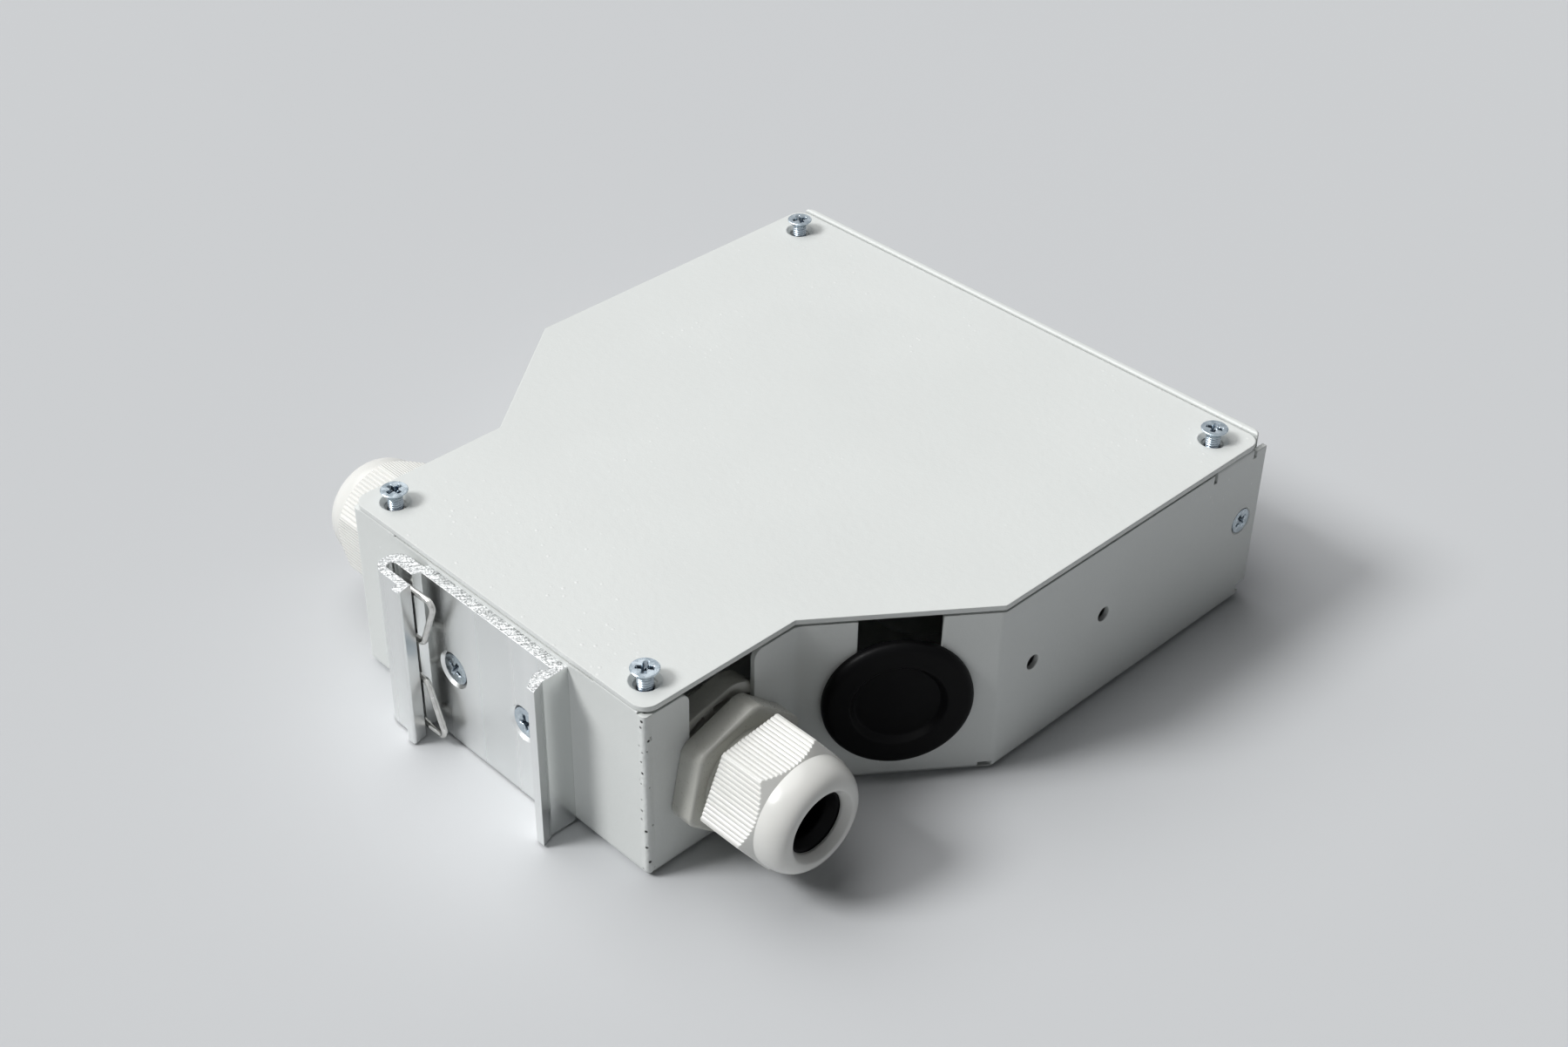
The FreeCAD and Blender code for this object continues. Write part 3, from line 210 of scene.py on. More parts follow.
# Pattern sizes below are in millimetres. A roughness is its smoothest and its dullest value.
noiseSpan = fromSpan(0.3, 0.7)         # most of a noise's values lie between these
falling = toSpan(1.0, 0.0)
powderCoat = {
    "colour": "dadddb", "paler": "dde0de", "cloudCell": 45.5, "cloudSpan": (0.35, 0.65),
    "roughness": (0.41, 0.51), "glossCell": 8.3,
    "peelCell": 1.4, "peelDepth": 0.045,               # orange peel, drawn as coarse as it needs to show
    "nibCell": 2.5, "nibRadius": 0.38, "nibHeight": 0.07, "nibGlintColour": "eeefee",     # specks in the powder, their paler colour a painted glint
    "nibSpan": (0.5, 0.62),                            # the cloud's values between which the specks come in
    "edgeRadius": 0.35,
    "bendLine": (-0.0404, 0.0372), "bendReach": 0.011,                   # metres
    "wrinkle": 0.8, "wrinkleDepth": 0.03, "wrinkleStretch": 0.35, "wrinkleTwist": 0.6,
    "weldLine": (-0.0404, 0.07185), "weldReach": 0.0017,                 # metres; an upright corner
    "pitCell": 1.5, "pitRadius": 0.27, "pitEdge": (0.7, 1.2),            # the edge as shares of the radius
    # the pits' dark colour below is painted shade
    "pitDepth": 0.4, "pitShadeColour": "2c2d2c",
    "ridgeCell": 1.1, "ridgeDepth": 0.16,              # the lumpy bead under the paint beside the pits
}


def besideLine(tree, level, line, clear, reach):
    # 1 as far as clear from an upright line, falling to 0 at its reach; level is the place with z left out
    away = addNode(tree, "VectorMath", {"operation": "DISTANCE", 1: line + (0.0,)}, {0: level})
    return addNode(tree, "MapRange", {**fromSpan(clear, reach), **falling}, {"Value": away.outputs["Value"]})


def powderCoatedSteel(look):
    # Folded sheet steel under cured polyester powder: an even light grey, slightly pebbled,
    # so that highlights on it are broad and soft
    material, tree, shader, coordinates = startMaterial("powderCoatedSteel", {"IOR": 1.5})
    place = coordinates.outputs["Object"]
    cloud = addNode(tree, "TexNoise", {"Scale": 1000 / look["cloudCell"], "Detail": 3.0}, {"Vector": place})
    clouds = addNode(tree, "MapRange", fromSpan(*look["cloudSpan"]), {"Value": cloud})
    tint = addNode(tree, "Mix", twoColours(look["colour"], look["paler"]), {"Factor": clouds})
    # orange peel, and on it a finer one of a quarter of its size and height
    peel = addNode(tree, "TexNoise", {"Scale": 1000 / look["peelCell"], "Detail": 1.5}, {"Vector": place})
    fine = addNode(tree, "TexNoise", {"Scale": 4000 / look["peelCell"], "Detail": 1.0}, {"Vector": place})
    height = addNode(tree, "Math", {"operation": "MULTIPLY_ADD", 1: 0.25}, {0: fine, 2: peel})
    edge = addNode(tree, "Bevel", {"samples": 6, "Radius": look["edgeRadius"] / 1000})
    coat = addNode(tree, "Bump", {"Distance": look["peelDepth"] / 1000}, {"Height": height, "Normal": edge})
    # pale specks in loose patches: nibs in relief, their paler colour a painted glint
    specks = addNode(tree, "TexVoronoi", {"Scale": 1000 / look["nibCell"]}, {"Vector": place})
    nibs = addNode(tree, "MapRange", {"From Max": look["nibRadius"] / look["nibCell"], **falling},
                   {"Value": specks.outputs["Distance"]})
    gathered = addNode(tree, "MapRange", fromSpan(*look["nibSpan"]), {"Value": cloud})
    nibs = addNode(tree, "Math", {"operation": "MULTIPLY"}, {0: nibs, 1: gathered})
    coat = addNode(tree, "Bump", {"Distance": look["nibHeight"] / 1000}, {"Height": nibs, "Normal": coat})
    speckGlint = addNode(tree, "Mix", {"data_type": "RGBA", "B": linear(look["nibGlintColour"])},
                      {"Factor": nibs, "A": tint.outputs[2]})
    # wrinkles in the powder where the wall was bent, lying level
    level = addNode(tree, "VectorMath", {"operation": "MULTIPLY", 1: (1.0, 1.0, 0.0)}, {0: place})
    nearBend = besideLine(tree, level, look["bendLine"], look["bendReach"] / 3, look["bendReach"])
    flattened = addNode(tree, "Mapping", {"Scale": (look["wrinkleStretch"], look["wrinkleStretch"], 1.0)},
                        {"Vector": place})
    creases = addNode(tree, "TexNoise", {"Scale": 1000 / look["wrinkle"], "Detail": 2.0,
                                         "Distortion": look["wrinkleTwist"]}, {"Vector": flattened})
    creases = addNode(tree, "Math", {"operation": "MULTIPLY"}, {0: creases, 1: nearBend})
    coat = addNode(tree, "Bump", {"Distance": look["wrinkleDepth"] / 1000},
                   {"Height": creases, "Normal": coat})
    # a lumpy bead and soft-edged pits along the weld, the pits darkened with painted shade
    nearWeld = besideLine(tree, level, look["weldLine"], look["weldReach"] / 2, look["weldReach"])
    lumps = addNode(tree, "TexNoise", {"Scale": 1000 / look["ridgeCell"], "Detail": 1.0}, {"Vector": place})
    ridge = addNode(tree, "Math", {"operation": "MULTIPLY"}, {0: lumps, 1: nearWeld})
    coat = addNode(tree, "Bump", {"Distance": look["ridgeDepth"] / 1000}, {"Height": ridge, "Normal": coat})
    cells = addNode(tree, "TexVoronoi", {"Scale": 1000 / look["pitCell"]}, {"Vector": place})
    inner, outer = (share * look["pitRadius"] / look["pitCell"] for share in look["pitEdge"])
    pits = addNode(tree, "MapRange", {**fromSpan(inner, outer), **falling},
                   {"Value": cells.outputs["Distance"]})
    pits = addNode(tree, "Math", {"operation": "MULTIPLY"}, {0: pits, 1: nearWeld})
    sunk = addNode(tree, "Math", {"operation": "MULTIPLY", 1: -1.0}, {0: pits})
    coat = addNode(tree, "Bump", {"Distance": look["pitDepth"] / 1000}, {"Height": sunk, "Normal": coat})
    painted = addNode(tree, "Mix", {"data_type": "RGBA", "B": linear(look["pitShadeColour"])},
                      {"Factor": pits, "A": speckGlint.outputs[2]})
    patches = addNode(tree, "TexNoise", {"Scale": 1000 / look["glossCell"], "Detail": 3.0}, {"Vector": place})
    gloss = addNode(tree, "MapRange", {**noiseSpan, **toSpan(*look["roughness"])}, {"Value": patches})
    finishShader(tree, shader, painted, gloss, coat)
    return material


extrusion = {
    "colour": "e6e8e7", "paler": "f2f3f2", "roughness": (0.22, 0.32), "edgeRadius": 0.18,
    "drawLine": 0.5, "drawDepth": 0.002, "broadLine": 9.1, "drawStretch": 0.003,     # lines along Z
    "sawnSpan": (0.8, 0.95),                               # how far up or down a sawn face looks
    "cut": "8c8e8e", "burr": "f4f5f5", "cutSpan": (0.55, 0.9), "sawnRoughness": (0.3, 0.6),
    "sawArc": 0.55, "sawCentre": (0.16, -0.05),            # the blade's centre in metres
    "arcWobble": 0.8, "wobbleCell": 3.33, "arcShare": 0.45,
    "grit": 0.34, "gritDepth": 0.14,
}


def extrudedAluminium(look):
    # Satin profile: soft draw lines along its length, and sawn ends that are brighter and granular,
    # with the arcs of a round blade whose centre lies beside the profile
    material, tree, shader, coordinates = startMaterial("extrudedAluminium", {"Metallic": 1.0})
    place = coordinates.outputs["Object"]
    facing = addNode(tree, "SeparateXYZ", links={0: coordinates.outputs["Normal"]})
    upright = addNode(tree, "Math", {"operation": "ABSOLUTE"}, {0: facing.outputs["Z"]})
    sawn = addNode(tree, "MapRange", fromSpan(*look["sawnSpan"]), {"Value": upright})
    # draw lines: fine ones in relief, broad ones in colour and gloss
    along = addNode(tree, "Mapping", {"Scale": (1.0, 1.0, look["drawStretch"])}, {"Vector": place})
    lines = addNode(tree, "TexNoise", {"Scale": 1000 / look["drawLine"], "Detail": 2.0}, {"Vector": along})
    broad = addNode(tree, "TexNoise", {"Scale": 1000 / look["broadLine"], "Detail": 2.0}, {"Vector": along})
    spread = addNode(tree, "MapRange", noiseSpan, {"Value": broad})
    flank = addNode(tree, "Mix", twoColours(look["colour"], look["paler"]), {"Factor": spread})
    # distance from the blade's centre, bent a little by noise, cut into arcs
    flat = addNode(tree, "VectorMath", {"operation": "MULTIPLY", 1: (1.0, 1.0, 0.0)}, {0: place})
    fromBlade = addNode(tree, "VectorMath", {"operation": "DISTANCE", 1: look["sawCentre"] + (0.0,)},
                        {0: flat})
    wobble = addNode(tree, "TexNoise", {"Scale": 1000 / look["wobbleCell"], "Detail": 2.0}, {"Vector": place})
    bent = addNode(tree, "Math", {"operation": "MULTIPLY_ADD", 1: look["arcWobble"] / 1000},
                   {0: wobble, 2: fromBlade.outputs["Value"]})
    arcs = addNode(tree, "TexNoise", {"noise_dimensions": "1D", "Scale": 1000 / look["sawArc"],
                                      "Detail": 3.0}, {"W": bent})
    grit = addNode(tree, "TexNoise", {"Scale": 1000 / look["grit"], "Detail": 3.0}, {"Vector": place})
    cut = addNode(tree, "Math", {"operation": "MULTIPLY_ADD", 1: look["arcShare"]}, {0: arcs, 2: grit})
    bright = addNode(tree, "MapRange", fromSpan(*look["cutSpan"]), {"Value": cut})
    ends = addNode(tree, "Mix", twoColours(look["cut"], look["burr"]), {"Factor": bright})
    tint = addNode(tree, "Mix", {"data_type": "RGBA"},
                   {"Factor": sawn, "A": flank.outputs[2], "B": ends.outputs[2]})
    drawn = addNode(tree, "MapRange", toSpan(*look["roughness"]), {"Value": spread})
    rough = addNode(tree, "MapRange", {**noiseSpan, **toSpan(*look["sawnRoughness"])}, {"Value": arcs})
    gloss = addNode(tree, "Mix", links={"Factor": sawn, "A": drawn, "B": rough})
    edge = addNode(tree, "Bevel", {"samples": 6, "Radius": look["edgeRadius"] / 1000})
    lined = addNode(tree, "Bump", {"Distance": look["drawDepth"] / 1000}, {"Height": lines, "Normal": edge})
    height = addNode(tree, "Math", {"operation": "MULTIPLY"}, {0: cut, 1: sawn})
    marks = addNode(tree, "Bump", {"Distance": look["gritDepth"] / 1000}, {"Height": height, "Normal": lined})
    finishShader(tree, shader, tint, gloss, marks)
    return material


# blue-passivated zinc: cool and bright, with dark blue painted shade in its threads and recess
zincPlate = {"colour": "adbac3", "paler": "d2dce3", "roughness": (0.19, 0.33), "cloud": 1.2,
             "hollowShadeColour": "10243a", "hollow": 1.0, "openSpan": (0.4, 0.85), "mark": 0.25, "depth": 0.004}
# stainless wire drawn through a die: bright, nearly a mirror, with grey painted shade where it is enclosed
drawnWire = {"colour": "c9c8c5", "paler": "e4e3e0", "roughness": (0.14, 0.28), "cloud": 0.8,
             "hollowShadeColour": "55534f", "hollow": 0.4, "openSpan": (0.4, 0.85), "mark": 0.2, "depth": 0.002}


def brightMetal(name, look):
    # A small bright metal part: slight clouding in its colour and gloss, fine marks from handling,
    # and painted shade in threads and recesses: a darker colour where little of the surroundings is open to
    # it
    material, tree, shader, coordinates = startMaterial(name, {"Metallic": 1.0})
    place = coordinates.outputs["Object"]
    cloud = addNode(tree, "TexNoise", {"Scale": 1000 / look["cloud"], "Detail": 3.0}, {"Vector": place})
    spread = addNode(tree, "MapRange", noiseSpan, {"Value": cloud})
    tint = addNode(tree, "Mix", twoColours(look["colour"], look["paler"]), {"Factor": spread})
    # painted shade: ambient occlusion darkens the colour towards the hollows' dark colour where the surface
    # is enclosed
    hollow = addNode(tree, "AmbientOcclusion", {"samples": 6, "Distance": look["hollow"] / 1000})
    exposed = addNode(tree, "MapRange", fromSpan(*look["openSpan"]), {"Value": hollow.outputs["AO"]})
    paintedHollowShade = addNode(tree, "Mix", {"data_type": "RGBA", "A": linear(look["hollowShadeColour"])},
                   {"Factor": exposed, "B": tint.outputs[2]})
    gloss = addNode(tree, "MapRange", toSpan(*look["roughness"]), {"Value": spread})
    marks = addNode(tree, "TexNoise", {"Scale": 1000 / look["mark"], "Detail": 2.0}, {"Vector": place})
    fine = addNode(tree, "Bump", {"Distance": look["depth"] / 1000}, {"Height": marks})
    finishShader(tree, shader, paintedHollowShade, gloss, fine)
    return material


moulding = {"cloudCell": 9.1, "edgeRadius": 0.12}          # what all moulded parts share
# light grey polyamide: a soft gloss, a little light passes into it
polyamide = {"colour": "dfdfdb", "shade": "e5e5e1", "roughness": (0.18, 0.27), "cell": 0.5,
             "grain": 0.004, "depthOfLight": 0.12}
# the gland's body and locknut: a darker copy of the dome nut's polyamide, partly their own greyer tone
# and partly painted shade for the shadow that falls on them beside the wall
shadedGreyPolyamide = {"colour": "bdbdb6", "shade": "c6c6bf", "roughness": (0.26, 0.35), "cell": 0.5,
                 "grain": 0.004, "depthOfLight": 0.1}
# black chloroprene: a soft sheen along its rounded rim
blackRubber = {"colour": "060607", "shade": "0a0a0b", "roughness": (0.38, 0.47), "cell": 0.35,
               "grain": 0.006, "sheen": 0.08}
# pale grey ABS from an eroded mould: dull
trayPlastic = {"colour": "d2d4d2", "shade": "c9cbc9", "roughness": (0.46, 0.55), "cell": 0.4, "grain": 0.01}
# blue filled polyester: fairly glossy
adapterPlastic = {"colour": "1f4f8f", "shade": "1a467f", "roughness": (0.3, 0.39), "cell": 0.4,
                  "grain": 0.005}
# translucent polyethylene: waxy
capPlastic = {"colour": "c9c9c4", "shade": "bfbfba", "roughness": (0.36, 0.45), "cell": 0.5,
              "grain": 0.006, "depthOfLight": 0.1}


def mouldedPart(name, look):
    # Injection-moulded plastic or rubber: a fine skin from the mould and a slow change of shade
    # where it cooled, with a small radius on every edge
    settings = {"IOR": 1.5, "Specular IOR Level": look.get("sheen", 0.5)}
    if "depthOfLight" in look:
        settings.update({"Subsurface Weight": look["depthOfLight"], "Subsurface Scale": 1.0,
                         "Subsurface Radius": (0.0012, 0.0011, 0.001)})      # metres for red, green and blue
    material, tree, shader, coordinates = startMaterial(name, settings)
    place = coordinates.outputs["Object"]
    cloud = addNode(tree, "TexNoise", {"Scale": 1000 / moulding["cloudCell"], "Detail": 2.0},
                    {"Vector": place})
    clouds = addNode(tree, "MapRange", noiseSpan, {"Value": cloud})
    tint = addNode(tree, "Mix", twoColours(look["colour"], look["shade"]), {"Factor": clouds})
    skin = addNode(tree, "TexNoise", {"Scale": 1000 / look["cell"], "Detail": 2.0}, {"Vector": place})
    gloss = addNode(tree, "MapRange", {**noiseSpan, **toSpan(*look["roughness"])}, {"Value": skin})
    edge = addNode(tree, "Bevel", {"samples": 4, "Radius": moulding["edgeRadius"] / 1000})
    grain = addNode(tree, "Bump", {"Distance": look["grain"] / 1000}, {"Height": skin, "Normal": edge})
    finishShader(tree, shader, tint, gloss, grain)
    return material


materials = {
    "painted_steel": powderCoatedSteel(powderCoat),
    "aluminium": extrudedAluminium(extrusion),
    "zinc_steel": brightMetal("zincPlatedSteel", zincPlate),
    "spring_steel": brightMetal("drawnSpringWire", drawnWire),
    "nylon": mouldedPart("mouldedPolyamide", polyamide),
    "rubber": mouldedPart("mouldedRubber", blackRubber),
    "tray_plastic": mouldedPart("mouldedTrayPlastic", trayPlastic),
    "adapter_plastic": mouldedPart("mouldedAdapterPlastic", adapterPlastic),
    "cap_plastic": mouldedPart("mouldedCapPlastic", capPlastic),
}
# a darker copy of the polyamide, partly painted shade, for the gland's body and locknut
glandShadedGrey = mouldedPart("mouldedPolyamideShadedGrey", shadedGreyPolyamide)
for entry in frame["record"]["subparts"]:
    thing = nodes[entry["node"]]
    thing.data.materials.clear()
    thing.data.materials.append(materials[entry["material_slot"]])
print("materials ready:", len(materials) + 1)

pieceMesh = {"mergeWithin": 1e-7, "sharpAngle": 32}         # metres, degrees


def surfacePiece(name, points, body, slot, replaced, ring=False, finish=None):
    # points: rows x columns x 3, in millimetres. Columns close on themselves, and so do the rows of a
    # ring; otherwise the first and last row are each one point, the pole. finish is a material that
    # takes the place of the slot's.
    rows, columns = points.shape[:2]
    row = np.arange(rows if ring else rows - 1)[:, None]
    column = np.arange(columns)[None, :]
    low, high = row * columns, (row + 1) % rows * columns
    nextColumn = (column + 1) % columns
    quads = np.broadcast_arrays(low + column, low + nextColumn, high + nextColumn, high + column)
    quads = np.stack(quads, -1)
    mesh = bpy.data.meshes.new(name)
    mesh.from_pydata((points.reshape(-1, 3) / 1000).tolist(), [], quads.reshape(-1, 4).tolist())
    work = bmesh.new()
    work.from_mesh(mesh)
    bmesh.ops.remove_doubles(work, verts=work.verts, dist=pieceMesh["mergeWithin"])
    bmesh.ops.recalc_face_normals(work, faces=work.faces)
    if work.calc_volume(signed=True) < 0:
        bmesh.ops.reverse_faces(work, faces=work.faces)
    work.to_mesh(mesh)
    work.free()
    mesh.polygons.foreach_set("use_smooth", np.ones(len(mesh.polygons), dtype=bool))
    mesh.set_sharp_from_angle(angle=math.radians(pieceMesh["sharpAngle"]))
    mesh.materials.append(finish or materials[slot])
    piece = bpy.data.objects.new(name, mesh)
    bpy.context.scene.collection.objects.link(piece)
    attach(piece, body)
    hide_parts(replaced)


def divided(profile, step):
    # a line through (radius, height) points with points no further apart than step, by even shares
    profile = np.asarray(profile, float)
    parts = [profile[:1]]
    for start, end in zip(profile[:-1], profile[1:]):
        count = max(1, math.ceil(np.linalg.norm(end - start) / step))
        parts.append(start + (end - start) * (np.arange(1, count + 1) / count)[:, None])
    return np.concatenate(parts)


def rounded(profile, radii, pieces=5):
    # the same line with its inner corners rounded: each corner becomes an arc between the points
    # where a circle of its radius touches the two sides
    profile = np.asarray(profile, float)
    out = [profile[0]]
    for before, corner, after, radius in zip(profile[:-2], profile[1:-1], profile[2:], radii):
        back, forth = before - corner, after - corner
        back, forth = back / np.linalg.norm(back), forth / np.linalg.norm(forth)
        half = math.acos(np.clip(back @ forth, -1, 1)) / 2
        bisector = (back + forth) / np.linalg.norm(back + forth)
        centre = corner + bisector * radius / math.sin(half)
        first = corner + back * radius / math.tan(half) - centre
        last = corner + forth * radius / math.tan(half) - centre
        sweep = math.pi - 2 * half
        share = np.linspace(0, 1, pieces + 1)[:, None]
        arc = first * np.sin((1 - share) * sweep) + last * np.sin(share * sweep)
        out.extend(centre + arc / math.sin(sweep))
    out.append(profile[-1])
    return np.array(out)


def softMin(first, second, blend):
    # the smaller of two, its crease rounded over the blend's width
    mix = np.clip(0.5 + 0.5 * (second - first) / blend, 0, 1)
    return second + (first - second) * mix - blend * mix * (1 - mix)


def smoothStep(value, low, high):
    # 0 below low, 1 above high, and between them three times the share's square less twice its cube
    share = np.clip((value - low) / (high - low), 0, 1)
    return share * share * (3 - 2 * share)


def hexReach(angle, across, corner):
    # a hexagon's radius: half its width over the cosine of the angle from the nearest flat's middle
    fromFlat = (angle - corner) % (math.pi / 3) - math.pi / 6
    return across / 2 / np.cos(fromFlat), fromFlat


def roundAbout(columns, start=0.0):
    # one row of even angles round a full turn
    return (start + np.arange(columns) * (2 * math.pi / columns))[None, :]


def setOut(radius, angle, height, centre, out, above=(0, 0, 1)):
    # cylinder coordinates about the axis "out" through centre; angle 0 points along above x out
    out = np.asarray(out, float) / np.linalg.norm(out)
    side = np.cross(above, out)
    side /= np.linalg.norm(side)
    up = np.cross(out, side)
    radius, angle, height = np.broadcast_arrays(radius, angle, height)
    return (np.asarray(centre, float) + (radius * np.cos(angle))[..., None] * side
            + (radius * np.sin(angle))[..., None] * up + height[..., None] * out)


# From here on sizes and places are in millimetres and angles in degrees.
sides = (("left", -1), ("right", 1))
glandPlace = {"wall": 40.4, "y": 53.55, "z": 16.8}       # outer face of the wall, and the axis


def onGland(sign, radius, angle, height):
    # radii are from the gland's axis, heights from the wall's outer face outwards
    centre = (sign * glandPlace["wall"], glandPlace["y"], glandPlace["z"])
    return setOut(radius, angle, height, centre, (sign, 0, 0))


domeNut = {
    "across": 22.2, "corner": {"left": 6.2, "right": 24.5},      # a corner's angle
    "start": 7.1, "flankStep": 1.2,
    "creaseRadius": 10.85, "crease": 18.1, "cornerOver": 0.05, "coneStep": 0.08,
    "end": 23.6, "lip": 7.3, "domeRows": 24, "fullness": 0.9,
    "funnel": 6.9, "funnelDrop": 0.2, "mouth": 6.0, "funnelEnd": 22.1, "softEdge": 0.1,
    "ribs": 15, "groove": 0.24, "narrowing": 1.5, "columnsPerFlat": 120, "softness": 0.1,
    "bore": 9.7, "boreEnd": 17.4, "boreRim": 0.3, "seat": 7.3, "seatStart": 20.0, "seatEnd": 21.6,
    "boreStep": 2.5,
}


def domeNutPoints(look, cornerAt):
    # Turned profile: cylinder round the corners, 45 degree cone down to the crease circle, quarter
    # ellipse to the lip, funnel, then back through the bore. Its radius is the smaller of that profile
    # and the hexagon, whose flats carry round-topped ribs: the groove's depth along the flat is one less
    # the size of a cosine, raised to the power that narrows it.
    crease, lip, soft = look["creaseRadius"], look["lip"], look["softEdge"]
    cornerRadius = look["across"] / 2 / math.cos(math.pi / 6) + look["cornerOver"]
    coneStart = look["crease"] - (cornerRadius - crease)
    flank = divided([(cornerRadius, look["start"]), (cornerRadius, coneStart - soft / 2)], look["flankStep"])
    cone = divided([(cornerRadius, coneStart), (crease, look["crease"])], look["coneStep"])
    quarter = np.linspace(0, math.pi / 2, look["domeRows"])[1:]
    dome = np.stack([lip + (crease - lip) * np.cos(quarter) ** look["fullness"],
                     look["crease"] + (look["end"] - look["crease"]) * np.sin(quarter)], -1)
    funnel = [((lip + look["funnel"]) / 2, look["end"] - soft / 2),
              (look["funnel"], look["end"] - look["funnelDrop"]),
              (look["mouth"] + soft, look["funnelEnd"] + soft), (look["mouth"], look["funnelEnd"] - soft)]
    outside = np.concatenate([[(look["bore"], look["start"])], flank, cone, dome, funnel])
    inside = divided([(look["mouth"], look["seatEnd"]), (look["seat"], look["seatEnd"]),
                      (look["seat"], look["seatStart"]), (look["bore"], look["boreEnd"]),
                      (look["bore"], look["start"] + look["boreRim"])], look["boreStep"])
    profile = np.concatenate([outside, inside])
    radius, height = profile[:, :1], profile[:, 1:]
    corner = math.radians(cornerAt)
    angle = roundAbout(look["columnsPerFlat"] * 6, corner)
    reach, fromFlat = hexReach(angle, look["across"], corner)
    along = reach * np.sin(fromFlat) / (look["across"] * math.tan(math.pi / 6))      # -0.5 to 0.5 of a flat
    valley = (1 - np.abs(np.cos(math.pi * along * look["ribs"]))) ** look["narrowing"]
    hexagon = reach - look["groove"] * valley
    isOutside = (np.arange(len(profile)) < len(outside))[:, None]
    return np.where(isOutside, softMin(radius, hexagon, look["softness"]), radius), angle, height


for side, sign in sides:
    points = onGland(sign, *domeNutPoints(domeNut, domeNut["corner"][side]))
    surfacePiece("domeNut_" + side, points, "dome_nut_" + side, "nylon", "gland_nut_" + side, ring=True)
print("dome nuts ready")

glandStem = {
    "across": 24.0, "cornerAt": 18.4, "cornerRadius": 13.35, "cornerSoftness": 0.15,
    "flange": 5.0, "backEdge": 0.3, "frontEdge": 0.7, "edgeRows": 7,
    "thread": 10.2, "tail": -9.0, "tailChamfer": 0.8, "underFlange": 0.05,
    "neck": 9.5, "neckEnd": 10.5, "claw": 8.7, "clawStep": 0.1, "end": 17.0, "bore": 7.0, "boreRim": 0.5,
    "pitch": 1.5, "threadDepth": 0.45, "threadFade": 0.8, "threadStep": 0.19, "boreStep": 3.0, "columns": 180,
}


def glandStemPoints(look):
    # Turned profile of tail, flange, neck and bore. On the flange's rows the radius is that of a
    # hexagon with its corners turned round, drawn in along a quarter circle at each edge; on tail and
    # neck a triangle wave that advances one pitch a turn cuts the thread.
    flange, back, front = look["flange"], look["backEdge"], look["frontEdge"]
    chamfer, columns = look["tailChamfer"], look["columns"]
    tail = divided([(look["bore"], look["tail"]), (look["thread"] - chamfer, look["tail"]),
                    (look["thread"], look["tail"] + chamfer), (look["thread"], -look["underFlange"])],
                   look["threadStep"])
    turn = np.linspace(0, math.pi / 2, look["edgeRows"])
    backRows = np.stack([back * (np.sin(turn) - 1), back * (1 - np.cos(turn))], -1)
    frontRows = np.stack([front * (np.cos(turn) - 1), flange - front * (1 - np.sin(turn))], -1)
    hexRows = np.concatenate([backRows, frontRows])
    stem = divided([(look["neck"], flange), (look["neck"], look["neckEnd"])], look["threadStep"])
    rest = divided([(look["claw"], look["neckEnd"] + look["clawStep"]), (look["claw"], look["end"]),
                    (look["bore"], look["end"]), (look["bore"], look["tail"] + look["boreRim"])],
                   look["boreStep"])
    corner = math.radians(look["cornerAt"])
    angle = roundAbout(columns, corner)
    reach, _ = hexReach(angle, look["across"], corner)
    reach = softMin(reach, look["cornerRadius"], look["cornerSoftness"])
    turns = angle / (2 * math.pi)

    def threaded(rows, low, high):
        phase = (rows[:, 1:] / look["pitch"] - turns) % 1
        depth = look["threadDepth"] * np.abs(2 * phase - 1)
        fade = smoothStep(rows[:, 1:], low, low + look["threadFade"])
        fade = fade * (1 - smoothStep(rows[:, 1:], high - look["threadFade"], high))
        return rows[:, :1] - depth * fade

    half = look["across"] / 2
    radius = np.concatenate([threaded(tail, look["tail"], 0.0), np.full((1, columns), look["thread"]),
                             (half + hexRows[:, :1]) / half * reach, threaded(stem, flange, look["neckEnd"]),
                             np.broadcast_to(rest[:, :1], (len(rest), columns))])
    height = np.concatenate([tail[:, 1:], [[0.0]], hexRows[:, 1:], stem[:, 1:], rest[:, 1:]])
    return radius, angle, height


for side, sign in sides:
    points = onGland(sign, *glandStemPoints(glandStem))
    surfacePiece("glandStem_" + side, points, "case", "nylon", "gland_body_" + side, ring=True,
                 finish=glandShadedGrey)
print("gland stems ready")

glandLocknut = {
    "across": 27.0, "cornerAt": 12.5, "back": -5.5, "face": -1.0, "bore": 10.3, "boreRim": 0.4,
    "chamferRadius": 14.6, "cornerSoftness": 0.3, "backChamfer": 0.5,
    "frontEdge": ((0.55, 0.0), (0.15, 0.12), (0.0, 0.5)),        # inwards from the flank, down from the face
    "land": 10.8, "pocket": (10.9, 12.2), "pocketWall": 0.12, "pocketDepth": 1.6, "rim": (12.4, 12.9),
    "pockets": 12, "ribShare": 0.4, "ribWall": 0.02, "ribAt": 105, "columns": 360,
}


